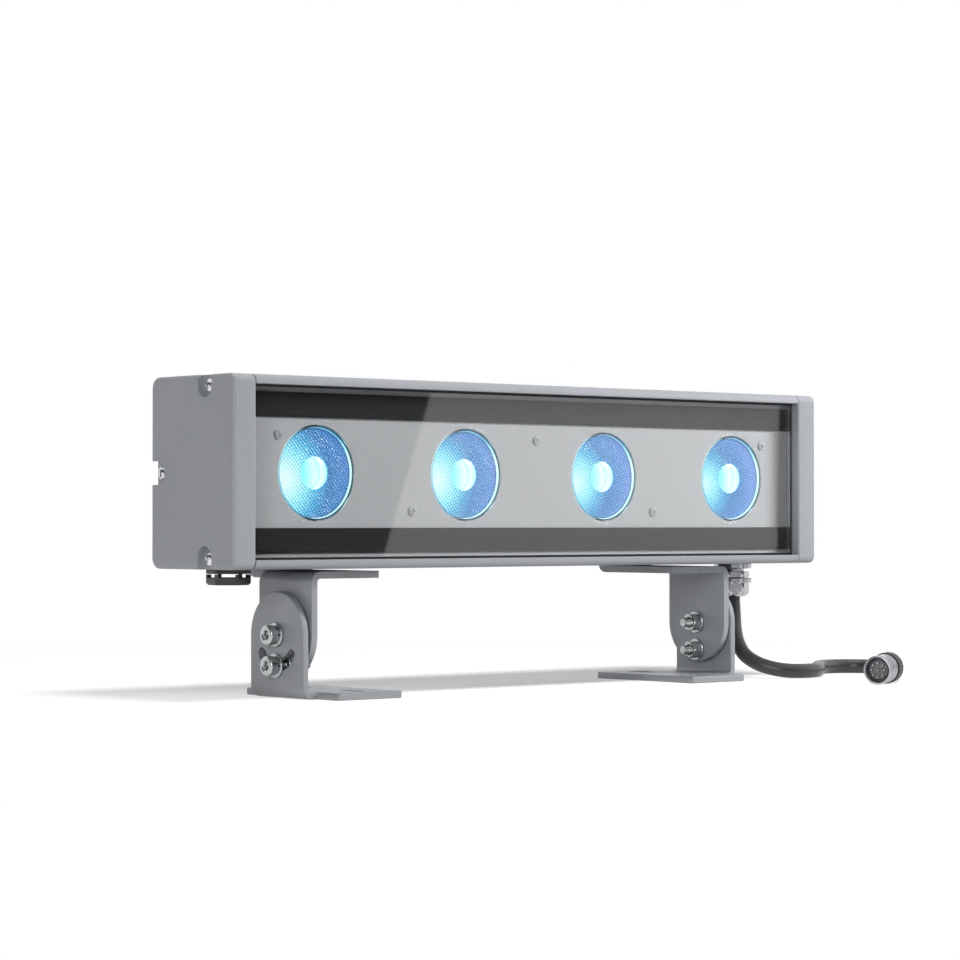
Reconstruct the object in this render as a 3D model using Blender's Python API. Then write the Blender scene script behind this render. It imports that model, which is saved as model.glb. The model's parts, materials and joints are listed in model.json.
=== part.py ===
"""Linear LED spotlight that stands on two tilting feet.

An extruded housing lies along X, its glazed front faces -Y and +Z is up. The origin is on
the floor, under the middle of the housing. Two bent arms hold the housing from behind and
below. Each arm is bolted to a bent foot by a pivot bolt, and a clamp bolt in a curved slot
locks the tilt. Units are metres.
"""

import math

import bmesh
import bpy
from mathutils import Matrix, Vector

MM = 0.001
GAP = 0.3 * MM                  # space kept between pieces that touch

# Housing
HOUSING_LENGTH = 452 * MM       # over both end caps
HOUSING_DEPTH = 76 * MM
HOUSING_HEIGHT = 105 * MM
UNDERSIDE = 71.6 * MM           # height of the housing's underside above the floor
WALL = 3 * MM
LIP = 5.2 * MM                  # height of the lips above and below the glass
LIP_DEPTH = 13.1 * MM           # how far back the thick lips reach
FRONT_CORNER = 4.5 * MM
REAR_CORNER = 6 * MM
INNER_CORNER = 2 * MM

# End caps
CAP_THICKNESS = 15 * MM
CAP_FILLET = 1.6 * MM           # outer edge
CAP_SEAM = 1 * MM               # round of the inner edge, next to the housing
CAP_SCREW_INSET = 6.1 * MM      # screw axis from the cap's edge
CAP_RECESS_WIDTH = 13 * MM
CAP_RECESS_DEPTH = 4.5 * MM
CAP_POCKET_DEPTH = 8 * MM
CAP_POCKET_MARGIN = 16 * MM
CAP_SCREW_SPACE = 1.6 * MM      # between the lower screw and the gland's stem
CAP_SCREW_LENGTH = 20 * MM
SCREW_BOSS_RADIUS = 4.6 * MM
SEAL_WIDTH = 1.6 * MM
SEAL_THICKNESS = 1 * MM
SEAL_INSET = 1.5 * MM

# Glass and what lies behind it
GLASS_RECESS = 6.8 * MM
GLASS_THICKNESS = 4 * MM
GROOVE_DEPTH = 2.2 * MM         # groove for the glass, cut into the lips
GASKET_THICKNESS = 0.9 * MM
GASKET_VISIBLE = 1.3 * MM       # past the lips, above and below
GASKET_END = 0.4 * MM           # beside each end cap
MASK_THICKNESS = 0.9 * MM
MASK_HEIGHT = 13.6 * MM
MASK_MARGIN = 3.6 * MM          # from a lip to its mask band
PLATE_THICKNESS = 1.5 * MM
PLATE_MARGIN = 1 * MM

# Optics
LENS_COUNT = 4
END_LENS_INSET = 64.15 * MM     # from the housing's end to the last lens's axis
LENS_DIAMETER = 56 * MM         # over the clear flange in front of the lens plate
LENS_FLANGE = 0.5 * MM
LENS_BARREL_DIAMETER = 52 * MM  # in the plate's window
LENS_DISH_DIAMETER = 49.6 * MM
LENS_FACE = 2.5 * MM            # honeycomb face, behind the plate's front
LENS_DEPTH = 22.8 * MM          # from the plate's front to the lens's back
LENS_RIM = 3.9 * MM
LENS_EYE_RISE = 1.3 * MM
LENS_EYE_DIAMETER = 19 * MM     # smooth raised centre of the lens
LENS_NECK_DIAMETER = 20 * MM
LENS_CAVITY_DIAMETER = 14 * MM
LENS_CAVITY_DEPTH = 6 * MM
WINDOW_DIAMETER = 53 * MM       # round hole in the lens plate
LED_WIDTH = 8.4 * MM
LED_BASE = 1.2 * MM
LED_DOME_RADIUS = 3.2 * MM
BOARD_THICKNESS = 1.6 * MM
LED_BOARD_INSET = 4 * MM        # from the spreader's end
LED_BOARD_HEIGHT = 32 * MM
SPREADER_INSET = 7 * MM         # from an end cap
SPREADER_THICKNESS = 4 * MM
SPREADER_FLANGE = 22 * MM
SPREADER_NOTCH = (26 * MM, 32 * MM)     # length and height cut from its lower corners
PLATE_SCREW_COUNT = 5
PLATE_SCREW_INSET = 38 * MM     # from the housing's end to the last screw
PLATE_SCREW_OFFSET = 20.6 * MM  # above or below the middle, in turn
PLATE_SCREW_HEAD = 5.5 * MM
PLATE_SCREW_HEAD_HEIGHT = 0.8 * MM
PLATE_SCREW_DIAMETER = 2.5 * MM
PLATE_SCREW_LENGTH = 9 * MM
STANDOFF_RADIUS = 3.5 * MM
DRIVER_BOARD_LENGTH = 210 * MM
DRIVER_BOARD_HEIGHT = 54 * MM
DRIVER_BOARD_CENTRE = 30 * MM
DRIVER_STANDOFF = 6 * MM
DRIVER_STANDOFF_INSET = 8 * MM

# Slot in the back of the housing
SLOT_HEIGHT = 16 * MM           # slot axis above the underside
SLOT_MOUTH = 6.4 * MM
SLOT_LIP = 2 * MM
SLOT_INSIDE = 11 * MM
SLOT_DEPTH = 6 * MM
SLOT_PAD = 17 * MM

# Arms and feet, bent from one gauge of sheet
SHEET = 4 * MM
BEND = 2 * MM                   # inner bend radius
SHEET_EDGE = 0.5 * MM
PLATE_WIDTH = 48 * MM           # width of the upright plates, whose ends are half rounds
PIVOT_HEIGHT = 35 * MM
FOOT_INSET = 57.4 * MM          # from the housing's end to the foot's outer face
ARM_STANDOFF = 2 * MM           # between a foot and its arm
ARM_GAP = 1.5 * MM              # between the housing's underside and the arm
ARM_REACH = 48.1 * MM           # along X, from the arm's outer face
ARM_LEG_HEIGHT = 30 * MM        # how far the arm's leg stands up behind the housing
FOOT_REACH = 55.6 * MM
FOOT_NECK = 10.3 * MM           # narrow part of the foot, from its outer face
FOOT_CHAMFER = 1.2 * MM
SLOT_RADIUS = 17 * MM           # pivot bolt to clamp bolt
SLOT_WIDTH = 6.6 * MM
TILT_LIMIT = 50                 # degrees each way
SLOT_SPARE = 1.5                # degrees of slot past each limit
FIXING_SLOT_LENGTH = 20 * MM
FIXING_SLOT_WIDTH = 9 * MM
FIXING_SLOT_SPACING = 50 * MM
FIXING_SLOT_INSET = 33.8 * MM   # from the foot's outer face
NOTCH = 1.2 * MM

# Fasteners
BOLT_DIAMETER = 6 * MM
BOLT_LENGTH = 25 * MM
BOLT_HEAD_DIAMETER = 11 * MM
BOLT_HEAD_HEIGHT = 4.6 * MM
HEX_KEY = 5 * MM
WASHER_DIAMETER = 13.4 * MM
WASHER_THICKNESS = 1.4 * MM
SPRING_WASHER_THICKNESS = 1.3 * MM
NUT_ACROSS_FLATS = 10 * MM
NUT_HEIGHT = 5 * MM
ARM_SCREW_DIAMETER = 5 * MM
ARM_SCREW_HEAD = 9.6 * MM
ARM_SCREW_SPACING = 30 * MM
SLIDE_NUT_LENGTH = 44 * MM
CAP_SCREW_DIAMETER = 4 * MM
CAP_SCREW_HEAD = 8 * MM
CAP_SCREW_HEAD_HEIGHT = 2.6 * MM

# Vent plug under the left end
VENT_INSET = 24.6 * MM          # from the housing's left end
VENT_ACROSS_FLATS = 21.3 * MM
VENT_STEM_DIAMETER = 12 * MM
VENT_STEM_LENGTH = 7 * MM       # above the housing's underside
VENT_HEIGHT = 8.7 * MM
VENT_FLANGE = 2.6 * MM
VENT_SLOT_HEIGHT = 1.7 * MM
VENT_SLOT_WIDTH = 9.2 * MM
VENT_TURN = 19                  # degrees, as it happened to stop when screwed in
VENT_WALL = 1.8 * MM

# Cable gland under the right end
GLAND_INSET = 35.1 * MM           # from the housing's right end
GLAND_FLANGE_DIAMETER = 23.6 * MM
GLAND_HEX = 18.2 * MM
GLAND_TURN = 26.6               # degrees
GLAND_STEM_DIAMETER = 16 * MM
GLAND_STEM_LENGTH = 8 * MM      # above the housing's underside
GLAND_NECK_DIAMETER = 14.4 * MM
GLAND_LENGTH = 21.2 * MM
GLAND_FLANGE = 3.5 * MM
GLAND_BODY = 9.4 * MM             # body below the underside, with the gap under it
GLAND_HEX_HEIGHT = 3.8 * MM
GLAND_NUT_FLANGE = 3 * MM
GLAND_CAP_FLOOR = 2 * MM
SEAL_SLEEVE = 2 * MM
CABLE_DIAMETER = 9 * MM
CABLE_MOUTH = 10.6 * MM
LEAD_BEND = 20 * MM             # size of the lead's turn inside the housing

# Connector on the lead
CONNECTOR_DIAMETER = 17.2 * MM
CONNECTOR_RING_DIAMETER = 18.6 * MM
CONNECTOR_SLEEVE_LENGTH = 13.4 * MM
CONNECTOR_RING_LENGTH = 7.3 * MM
CONNECTOR_LENGTH = 27 * MM
CONNECTOR_WALL = 1.6 * MM
CONNECTOR_RECESS = 3.4 * MM
CONNECTOR_PLACE = Vector((185.3, -125.1, 8.7)) * MM    # middle of its open front
CONNECTOR_TURN = 20.4           # degrees, from +X to the way the lead leaves it
CONNECTOR_RISE = 2.8            # degrees, because it rests on its larger ring
PIN_COUNT = 8
PIN_CIRCLE_RADIUS = 4.2 * MM
PIN_RADIUS = 0.75 * MM

# Route of the lead, in millimetres: down from the gland, along the floor, into the connector
CABLE_ROUTE = [
    (190.7, -1.0, 40.2), (189.4, -3.1, 30.6), (187.6, -7.5, 21.9), (186.8, -14.2, 14.6),
    (188.2, -22.7, 9.7), (192.4, -31.2, 6.6), (198.8, -38.6, 5.0), (207.6, -43.1, 4.6),
    (217.5, -43.3, 4.6), (226.5, -39.1, 4.6), (234.1, -32.7, 4.6), (241.3, -25.7, 4.6),
    (248.8, -19.2, 4.6), (257.6, -14.6, 4.6), (267.5, -14.2, 4.6), (276.5, -18.3, 4.6),
    (282.3, -26.1, 4.6), (283.8, -35.9, 4.6), (280.8, -45.3, 4.6), (274.8, -53.1, 4.6),
    (268.0, -60.5, 4.6), (261.1, -67.7, 4.6), (254.1, -74.8, 4.7), (247.2, -82.0, 5.1),
    (240.4, -89.2, 5.8), (233.7, -96.5, 6.9), (226.8, -103.7, 8.2), (219.3, -110.1, 9.3),
]
CABLE_STEPS = 44

# Places worked out from the sizes above
END = HOUSING_LENGTH / 2
CAP_INNER = END - CAP_THICKNESS
SPREADER_END = CAP_INNER - SPREADER_INSET
LENS_PITCH = 2 * (END - END_LENS_INSET) / (LENS_COUNT - 1)
PLATE_SCREW_PITCH = 2 * (END - PLATE_SCREW_INSET) / (PLATE_SCREW_COUNT - 1)
FRONT = -HOUSING_DEPTH / 2
REAR = HOUSING_DEPTH / 2
TOP = UNDERSIDE + HOUSING_HEIGHT
MIDDLE = UNDERSIDE + HOUSING_HEIGHT / 2
GLASS_FRONT = FRONT + GLASS_RECESS
GLASS_BACK = GLASS_FRONT + GLASS_THICKNESS
GROOVE_FRONT = GLASS_FRONT - GASKET_THICKNESS - 2 * GAP
GROOVE_BACK = GLASS_BACK + GAP
LIP_BACK = FRONT + LIP_DEPTH
MASK_FRONT = GLASS_BACK + GAP
PLATE_FRONT = MASK_FRONT + MASK_THICKNESS + GAP
PLATE_BACK = PLATE_FRONT + PLATE_THICKNESS
LED_BOARD_FRONT = PLATE_FRONT + LENS_DEPTH + GAP
LED_BOARD_BACK = LED_BOARD_FRONT + BOARD_THICKNESS
SPREADER_FRONT = LED_BOARD_BACK + GAP
SPREADER_BACK = SPREADER_FRONT + SPREADER_THICKNESS
CAP_SCREW_Y = -(GLAND_STEM_DIAMETER / 2 + CAP_SCREW_SPACE + CAP_SCREW_DIAMETER / 2)
FOOT_OUTER = END - FOOT_INSET
FOOT_INNER = FOOT_OUTER - SHEET
ARM_OUTER = FOOT_INNER - ARM_STANDOFF
ARM_INNER = ARM_OUTER - SHEET
ARM_TOP = UNDERSIDE - ARM_GAP
ARM_LEG_OUTER = REAR + GAP + SHEET
FOOT_HALF_WIDTH = ARM_LEG_OUTER
CLAMP_HEIGHT = PIVOT_HEIGHT - SLOT_RADIUS
VENT_X = -END + VENT_INSET
GLAND_X = END - GLAND_INSET
SIDES = {"left": -1, "right": 1}


def material(name, colour, roughness, metallic=0.0):
    """A plain surface, its colour given as linear red, green and blue."""
    made = bpy.data.materials.new(name)
    made.use_nodes = True
    shader = made.node_tree.nodes["Principled BSDF"]
    shader.inputs["Base Color"].default_value = (*colour, 1)
    shader.inputs["Roughness"].default_value = roughness
    shader.inputs["Metallic"].default_value = metallic
    return made


def arc(centre, radius, start, end, steps):
    """Points of an arc, its angles in degrees, both ends included."""
    points = []
    for step in range(steps + 1):
        angle = math.radians(start + (end - start) * step / steps)
        points.append((centre[0] + radius * math.cos(angle), centre[1] + radius * math.sin(angle)))
    return points


def circle(centre, radius, segments):
    return arc(centre, radius, 0, 360, segments)[:-1]


def rounded_box(low, high, front_radius, rear_radius, steps=5):
    """A rectangle with round corners; the front corners are those at the low first value."""
    left, bottom = low
    right, top = high
    outline = arc((left + front_radius, bottom + front_radius), front_radius, 180, 270, steps)
    outline += arc((right - rear_radius, bottom + rear_radius), rear_radius, 270, 360, steps)
    outline += arc((right - rear_radius, top - rear_radius), rear_radius, 0, 90, steps)
    outline += arc((left + front_radius, top - front_radius), front_radius, 90, 180, steps)
    return outline


def slot_outline(centre, length, width, steps=6):
    """A slot with round ends that runs along the second value."""
    reach = (length - width) / 2
    radius = width / 2
    outline = arc((centre[0], centre[1] + reach), radius, 0, 180, steps)
    outline += arc((centre[0], centre[1] - reach), radius, 180, 360, steps)
    return outline


def spot(axis, point, along):
    """A 2D point of an outline, set at a distance along the named axis."""
    first, second = point
    if axis == "X":
        return Vector((along, first, second))
    if axis == "Y":
        return Vector((first, along, second))
    return Vector((first, second, along))


def add_loft(bm, rings):
    """A closed solid through rings of points, its two ends filled."""
    rows = [[bm.verts.new(point) for point in ring] for ring in rings]
    count = len(rows[0])
    for near, far in zip(rows, rows[1:]):
        for index in range(count):
            following = (index + 1) % count
            bm.faces.new((near[index], near[following], far[following], far[index]))
    bm.faces.new(rows[0])
    bm.faces.new(rows[-1])


def add_prism(bm, outline, axis, low, high):
    add_loft(bm, [[spot(axis, point, along) for point in outline] for along in (low, high)])


def add_box(bm, low, high):
    outline = [(low[0], low[1]), (high[0], low[1]), (high[0], high[1]), (low[0], high[1])]
    add_prism(bm, outline, "Z", low[2], high[2])


def hexagon_factor(angle):
    """Distance to a hexagon's edge at an angle, over half its width across flats."""
    return 1 / math.cos((angle % (math.pi / 3)) - math.pi / 6)


def add_turned(bm, profile, frame, segments, closed=False):
    """Turn a profile of (radius, height) round the frame's Z axis.

    A third value "hex" makes that row a hexagon of that half width across flats. An open
    profile starts and ends on the axis; a closed one goes round a bore.
    """
    rows = []
    for radius, height, *shape in profile:
        if radius == 0:
            rows.append([bm.verts.new(frame @ Vector((0, 0, height)))])
            continue
        row = []
        for step in range(segments):
            angle = 2 * math.pi * step / segments
            reach = radius * hexagon_factor(angle) if shape else radius
            point = Vector((reach * math.cos(angle), reach * math.sin(angle), height))
            row.append(bm.verts.new(frame @ point))
        rows.append(row)
    pairs = list(zip(rows, rows[1:]))
    if closed:
        pairs.append((rows[-1], rows[0]))
    for near, far in pairs:
        for step in range(segments):
            following = (step + 1) % segments
            corners = [near[step % len(near)], near[following % len(near)]]
            corners += [far[following % len(far)], far[step % len(far)]]
            bm.faces.new(list(dict.fromkeys(corners)))


def facing(axis, origin):
    """A frame at a place, its Z axis along the given direction."""
    turn = Vector(axis).to_track_quat("Z", "Y").to_matrix().to_4x4()
    return Matrix.Translation(origin) @ turn


def link(name, bm, surface, smooth=30):
    bmesh.ops.recalc_face_normals(bm, faces=bm.faces)
    mesh = bpy.data.meshes.new(name)
    bm.to_mesh(mesh)
    bm.free()
    piece = bpy.data.objects.new(name, mesh)
    bpy.context.scene.collection.objects.link(piece)
    if surface:
        mesh.materials.append(surface)
        mesh.shade_smooth()
        mesh.set_sharp_from_angle(angle=math.radians(smooth))
    return piece


def combine(piece, bm, operation="DIFFERENCE", own_overlaps=False):
    """Cut, join or trim a piece with a hidden helper shape."""
    helper = link(f"helper_{piece.name}_{len(piece.modifiers)}", bm, None)
    helper.hide_render = True
    helper.display_type = "WIRE"
    modifier = piece.modifiers.new(operation.lower(), "BOOLEAN")
    modifier.operation = operation
    modifier.object = helper
    modifier.solver = "EXACT"
    modifier.use_self = own_overlaps


def housing_outline():
    """Cross-section of the extrusion in Y and Z, open at the front."""
    low, high = UNDERSIDE, TOP
    slot_z = UNDERSIDE + SLOT_HEIGHT
    boss_rise = CAP_SCREW_INSET - WALL
    boss_side = math.degrees(math.asin(boss_rise / SCREW_BOSS_RADIUS))
    rear_screw = REAR - CAP_SCREW_INSET
    outline = [(FRONT, low + LIP)]
    outline += arc((FRONT + FRONT_CORNER, low + FRONT_CORNER), FRONT_CORNER, 180, 270, 5)
    outline += arc((REAR - REAR_CORNER, low + REAR_CORNER), REAR_CORNER, 270, 360, 5)
    outline += [
        (REAR, slot_z - SLOT_MOUTH / 2), (REAR - SLOT_LIP, slot_z - SLOT_MOUTH / 2),
        (REAR - SLOT_LIP, slot_z - SLOT_INSIDE / 2), (REAR - SLOT_DEPTH, slot_z - SLOT_INSIDE / 2),
        (REAR - SLOT_DEPTH, slot_z + SLOT_INSIDE / 2), (REAR - SLOT_LIP, slot_z + SLOT_INSIDE / 2),
        (REAR - SLOT_LIP, slot_z + SLOT_MOUTH / 2), (REAR, slot_z + SLOT_MOUTH / 2),
    ]
    outline += arc((REAR - REAR_CORNER, high - REAR_CORNER), REAR_CORNER, 0, 90, 5)
    outline += arc((FRONT + FRONT_CORNER, high - FRONT_CORNER), FRONT_CORNER, 90, 180, 5)
    outline += [
        (FRONT, high - LIP), (GROOVE_FRONT, high - LIP), (GROOVE_FRONT, high - LIP + GROOVE_DEPTH),
        (GROOVE_BACK, high - LIP + GROOVE_DEPTH), (GROOVE_BACK, high - LIP),
        (LIP_BACK, high - LIP), (LIP_BACK, high - WALL),
    ]
    upper_screw = (CAP_SCREW_Y, high - CAP_SCREW_INSET)
    outline += arc(upper_screw, SCREW_BOSS_RADIUS, 180 - boss_side, 360 + boss_side, 8)
    outline += arc((REAR - WALL - INNER_CORNER, high - WALL - INNER_CORNER), INNER_CORNER, 90, 0, 3)
    outline += arc((rear_screw, MIDDLE), SCREW_BOSS_RADIUS, 90 - boss_side, 270 + boss_side, 8)
    outline += [
        (REAR - WALL, slot_z + SLOT_PAD / 2), (REAR - SLOT_DEPTH - WALL, slot_z + SLOT_PAD / 2),
        (REAR - SLOT_DEPTH - WALL, slot_z - SLOT_PAD / 2), (REAR - WALL, slot_z - SLOT_PAD / 2),
    ]
    outline += arc((REAR - WALL - INNER_CORNER, low + WALL + INNER_CORNER), INNER_CORNER, 0, -90, 3)
    outline += arc((CAP_SCREW_Y, low + CAP_SCREW_INSET), SCREW_BOSS_RADIUS, -boss_side, 180 + boss_side, 8)
    outline += [
        (LIP_BACK, low + WALL), (LIP_BACK, low + LIP), (GROOVE_BACK, low + LIP),
        (GROOVE_BACK, low + LIP - GROOVE_DEPTH), (GROOVE_FRONT, low + LIP - GROOVE_DEPTH),
        (GROOVE_FRONT, low + LIP),
    ]
    return outline


def cap_screw_places():
    """Name, Y and Z of the three screws in an end cap, and the way out to the cap's edge."""
    return [
        ("top", CAP_SCREW_Y, TOP - CAP_SCREW_INSET, (0, 1)),
        ("bottom", CAP_SCREW_Y, UNDERSIDE + CAP_SCREW_INSET, (0, -1)),
        ("rear", REAR - CAP_SCREW_INSET, MIDDLE, (1, 0)),
    ]


def make_housing(surface):
    bm = bmesh.new()
    add_prism(bm, housing_outline(), "X", -CAP_INNER + GAP, CAP_INNER - GAP)
    housing = link("housing_profile", bm, surface)
    holes = bmesh.new()
    bore = CAP_SCREW_DIAMETER / 2 + GAP
    for side in SIDES.values():
        for _, y, z, _ in cap_screw_places():
            ends = sorted((side * (CAP_INNER + GAP), side * (CAP_INNER - CAP_SCREW_LENGTH)))
            add_prism(holes, circle((y, z), bore, 12), "X", *ends)
    stems = (
        (VENT_X, VENT_STEM_DIAMETER, VENT_STEM_LENGTH), (GLAND_X, GLAND_STEM_DIAMETER, GLAND_STEM_LENGTH),
    )
    for x, diameter, length in stems:
        outline = circle((x, 0), diameter / 2 + GAP, 24)
        add_prism(holes, outline, "Z", UNDERSIDE - WALL, UNDERSIDE + length + GAP)
    combine(housing, holes)


def recess_outline(y, z, way):
    """The U-shaped recess round a cap screw, open towards the cap's edge."""
    radius = CAP_RECESS_WIDTH / 2
    heading = math.degrees(math.atan2(way[1], way[0]))
    outline = arc((y, z), radius, heading + 90, heading + 270, 8)
    past_edge = 2 * CAP_SCREW_INSET
    for corner in (outline[-1], outline[0]):
        outline.append((corner[0] + way[0] * past_edge, corner[1] + way[1] * past_edge))
    return outline


def seal_outline(inset):
    """Outline of the cap's seal: its front run backs on the end of the glass."""
    low = (GLASS_FRONT + inset - SEAL_INSET + GAP, UNDERSIDE + inset)
    high = (REAR - inset, TOP - inset)
    return rounded_box(low, high, 1.5 * MM, REAR_CORNER - inset)


def make_end_cap(name, side, surface):
    def ring(inset, x):
        outline = rounded_box(
            (FRONT + inset, UNDERSIDE + inset), (REAR - inset, TOP - inset),
            FRONT_CORNER - inset, REAR_CORNER - inset,
        )
        return [spot("X", point, side * x) for point in outline]

    rings = []
    for step in range(3):
        angle = math.radians(45 * step)
        rings.append(ring(CAP_SEAM * (1 - math.sin(angle)), CAP_INNER + CAP_SEAM * (1 - math.cos(angle))))
    for step in range(4):
        angle = math.radians(30 * step)
        rings.append(ring(CAP_FILLET * (1 - math.cos(angle)), END - CAP_FILLET * (1 - math.sin(angle))))
    bm = bmesh.new()
    add_loft(bm, rings)
    cap = link(name, bm, surface)
    cuts = bmesh.new()
    pocket_low = (FRONT + CAP_POCKET_MARGIN, UNDERSIDE + CAP_POCKET_MARGIN)
    pocket_high = (REAR - CAP_POCKET_MARGIN, TOP - CAP_POCKET_MARGIN)
    pocket = rounded_box(pocket_low, pocket_high, INNER_CORNER, INNER_CORNER, 3)
    add_prism(cuts, pocket, "X", side * (CAP_INNER - WALL), side * (CAP_INNER + CAP_POCKET_DEPTH))
    for _, y, z, way in cap_screw_places():
        outline = recess_outline(y, z, way)
        add_prism(cuts, outline, "X", side * (END - CAP_RECESS_DEPTH), side * (END + WALL))
    combine(cap, cuts)
    holes = bmesh.new()
    for _, y, z, _ in cap_screw_places():
        outline = circle((y, z), CAP_SCREW_DIAMETER / 2 + GAP, 12)
        add_prism(holes, outline, "X", side * (CAP_INNER - WALL), side * END)
    combine(cap, holes)
    groove = bmesh.new()
    add_frame(
        groove, seal_outline(SEAL_INSET - GAP), seal_outline(SEAL_INSET + SEAL_WIDTH + GAP), "X",
        side * (CAP_INNER - GAP), side * (CAP_INNER + SEAL_THICKNESS + GAP),
    )
    combine(cap, groove)


def add_frame(bm, outer, inner, axis, low, high):
    """A flat ring between two outlines that have the same number of points."""
    rows = []
    for outline, along in ((outer, low), (outer, high), (inner, high), (inner, low)):
        rows.append([bm.verts.new(spot(axis, point, along)) for point in outline])
    count = len(outer)
    for near, far in zip(rows, rows[1:] + rows[:1]):
        for index in range(count):
            following = (index + 1) % count
            bm.faces.new((near[index], near[following], far[following], far[index]))


def make_cap_seal(name, side, surface):
    bm = bmesh.new()
    ends = (side * CAP_INNER, side * (CAP_INNER + SEAL_THICKNESS))
    add_frame(bm, seal_outline(SEAL_INSET), seal_outline(SEAL_INSET + SEAL_WIDTH), "X", *ends)
    link(name, bm, surface)


def cross_outline(span, width):
    """A plus sign, for a cross recess."""
    far, near = span / 2, width / 2
    corners = [(far, -near), (far, near), (near, near)]
    outline = []
    for turn in range(4):
        angle = turn * math.pi / 2
        cosine, sine = math.cos(angle), math.sin(angle)
        outline += [(x * cosine - y * sine, x * sine + y * cosine) for x, y in corners]
    return outline


def add_key_hole(bm, outline, frame, low, high):
    rings = [[frame @ Vector((x, y, height)) for x, y in outline] for height in (low, high)]
    add_loft(bm, rings)


def pan_head_profile(head, height, shank, length):
    """Profile of a screw whose head stands on height 0 and whose shank goes down."""
    return [
        (0, -length), (shank / 2 * 0.7, -length), (shank / 2, -length + shank / 4), (shank / 2, 0),
        (head / 2, 0), (head / 2, height * 0.45), (head / 2 * 0.8, height * 0.85), (head / 2 * 0.45, height),
        (0, height),
    ]


def make_cap_screw(name, side, y, z, surface):
    frame = facing((side, 0, 0), (side * (END - CAP_RECESS_DEPTH + GAP), y, z))
    bm = bmesh.new()
    length = CAP_THICKNESS - CAP_RECESS_DEPTH + CAP_SCREW_LENGTH - 2 * MM
    profile = pan_head_profile(CAP_SCREW_HEAD, CAP_SCREW_HEAD_HEIGHT, CAP_SCREW_DIAMETER, length)
    add_turned(bm, profile, frame, 12)
    screw = link(name, bm, surface)
    recess = bmesh.new()
    cross = cross_outline(CAP_SCREW_HEAD * 0.55, 1.1 * MM)
    add_key_hole(recess, cross, frame, CAP_SCREW_HEAD_HEIGHT * 0.35, CAP_SCREW_HEAD_HEIGHT * 1.5)
    combine(screw, recess)


def make_glass(surface):
    low = UNDERSIDE + LIP - GROOVE_DEPTH + 2 * GAP
    high = TOP - LIP + GROOVE_DEPTH - 2 * GAP
    bm = bmesh.new()
    reach = CAP_INNER - GAP
    add_box(bm, (-reach, GLASS_FRONT, low), (reach, GLASS_BACK, high))
    link("front_glass", bm, surface)


def make_glass_gasket(surface):
    def corners(x, z_margin):
        low, high = UNDERSIDE + z_margin, TOP - z_margin
        return [(-x, low), (x, low), (x, high), (-x, high)]

    outer = corners(CAP_INNER - 2 * GAP, LIP - GROOVE_DEPTH + GAP)
    inner = corners(CAP_INNER - 2 * GAP - GASKET_END, LIP + GASKET_VISIBLE)
    bm = bmesh.new()
    front = GROOVE_FRONT + GAP
    add_frame(bm, outer, inner, "Y", front, front + GASKET_THICKNESS)
    link("glass_gasket", bm, surface)


def make_mask_strip(name, low, surface):
    reach = CAP_INNER - GAP
    bm = bmesh.new()
    add_box(bm, (-reach, MASK_FRONT, low), (reach, MASK_FRONT + MASK_THICKNESS, low + MASK_HEIGHT))
    link(name, bm, surface)


def lens_positions():
    return [(index - (LENS_COUNT - 1) / 2) * LENS_PITCH for index in range(LENS_COUNT)]


def plate_screw_places():
    """X and Z of the screws of the lens plate, above and below the middle in turn."""
    places = []
    for index in range(PLATE_SCREW_COUNT):
        x = (index - (PLATE_SCREW_COUNT - 1) / 2) * PLATE_SCREW_PITCH
        places.append((x, MIDDLE + PLATE_SCREW_OFFSET * (1 if index % 2 == 0 else -1)))
    return places


def make_lens_plate(surface):
    reach = CAP_INNER - GAP
    bm = bmesh.new()
    low = UNDERSIDE + LIP + PLATE_MARGIN
    high = TOP - LIP - PLATE_MARGIN
    add_box(bm, (-reach, PLATE_FRONT, low), (reach, PLATE_BACK, high))
    plate = link("lens_plate", bm, surface)
    cuts = bmesh.new()
    for x in lens_positions():
        add_prism(cuts, circle((x, MIDDLE), WINDOW_DIAMETER / 2, 32), "Y", FRONT, PLATE_BACK + WALL)
    for x, z in plate_screw_places():
        hole = circle((x, z), PLATE_SCREW_DIAMETER / 2 + GAP, 10)
        add_prism(cuts, hole, "Y", FRONT, PLATE_BACK + WALL)
    combine(plate, cuts)


def make_plate_screw(name, x, z, surface):
    frame = facing((0, -1, 0), (x, PLATE_FRONT - GAP, z))
    bm = bmesh.new()
    length = PLATE_SCREW_LENGTH - MM
    profile = pan_head_profile(PLATE_SCREW_HEAD, PLATE_SCREW_HEAD_HEIGHT, PLATE_SCREW_DIAMETER, length)
    add_turned(bm, profile, frame, 12)
    link(name, bm, surface)


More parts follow.
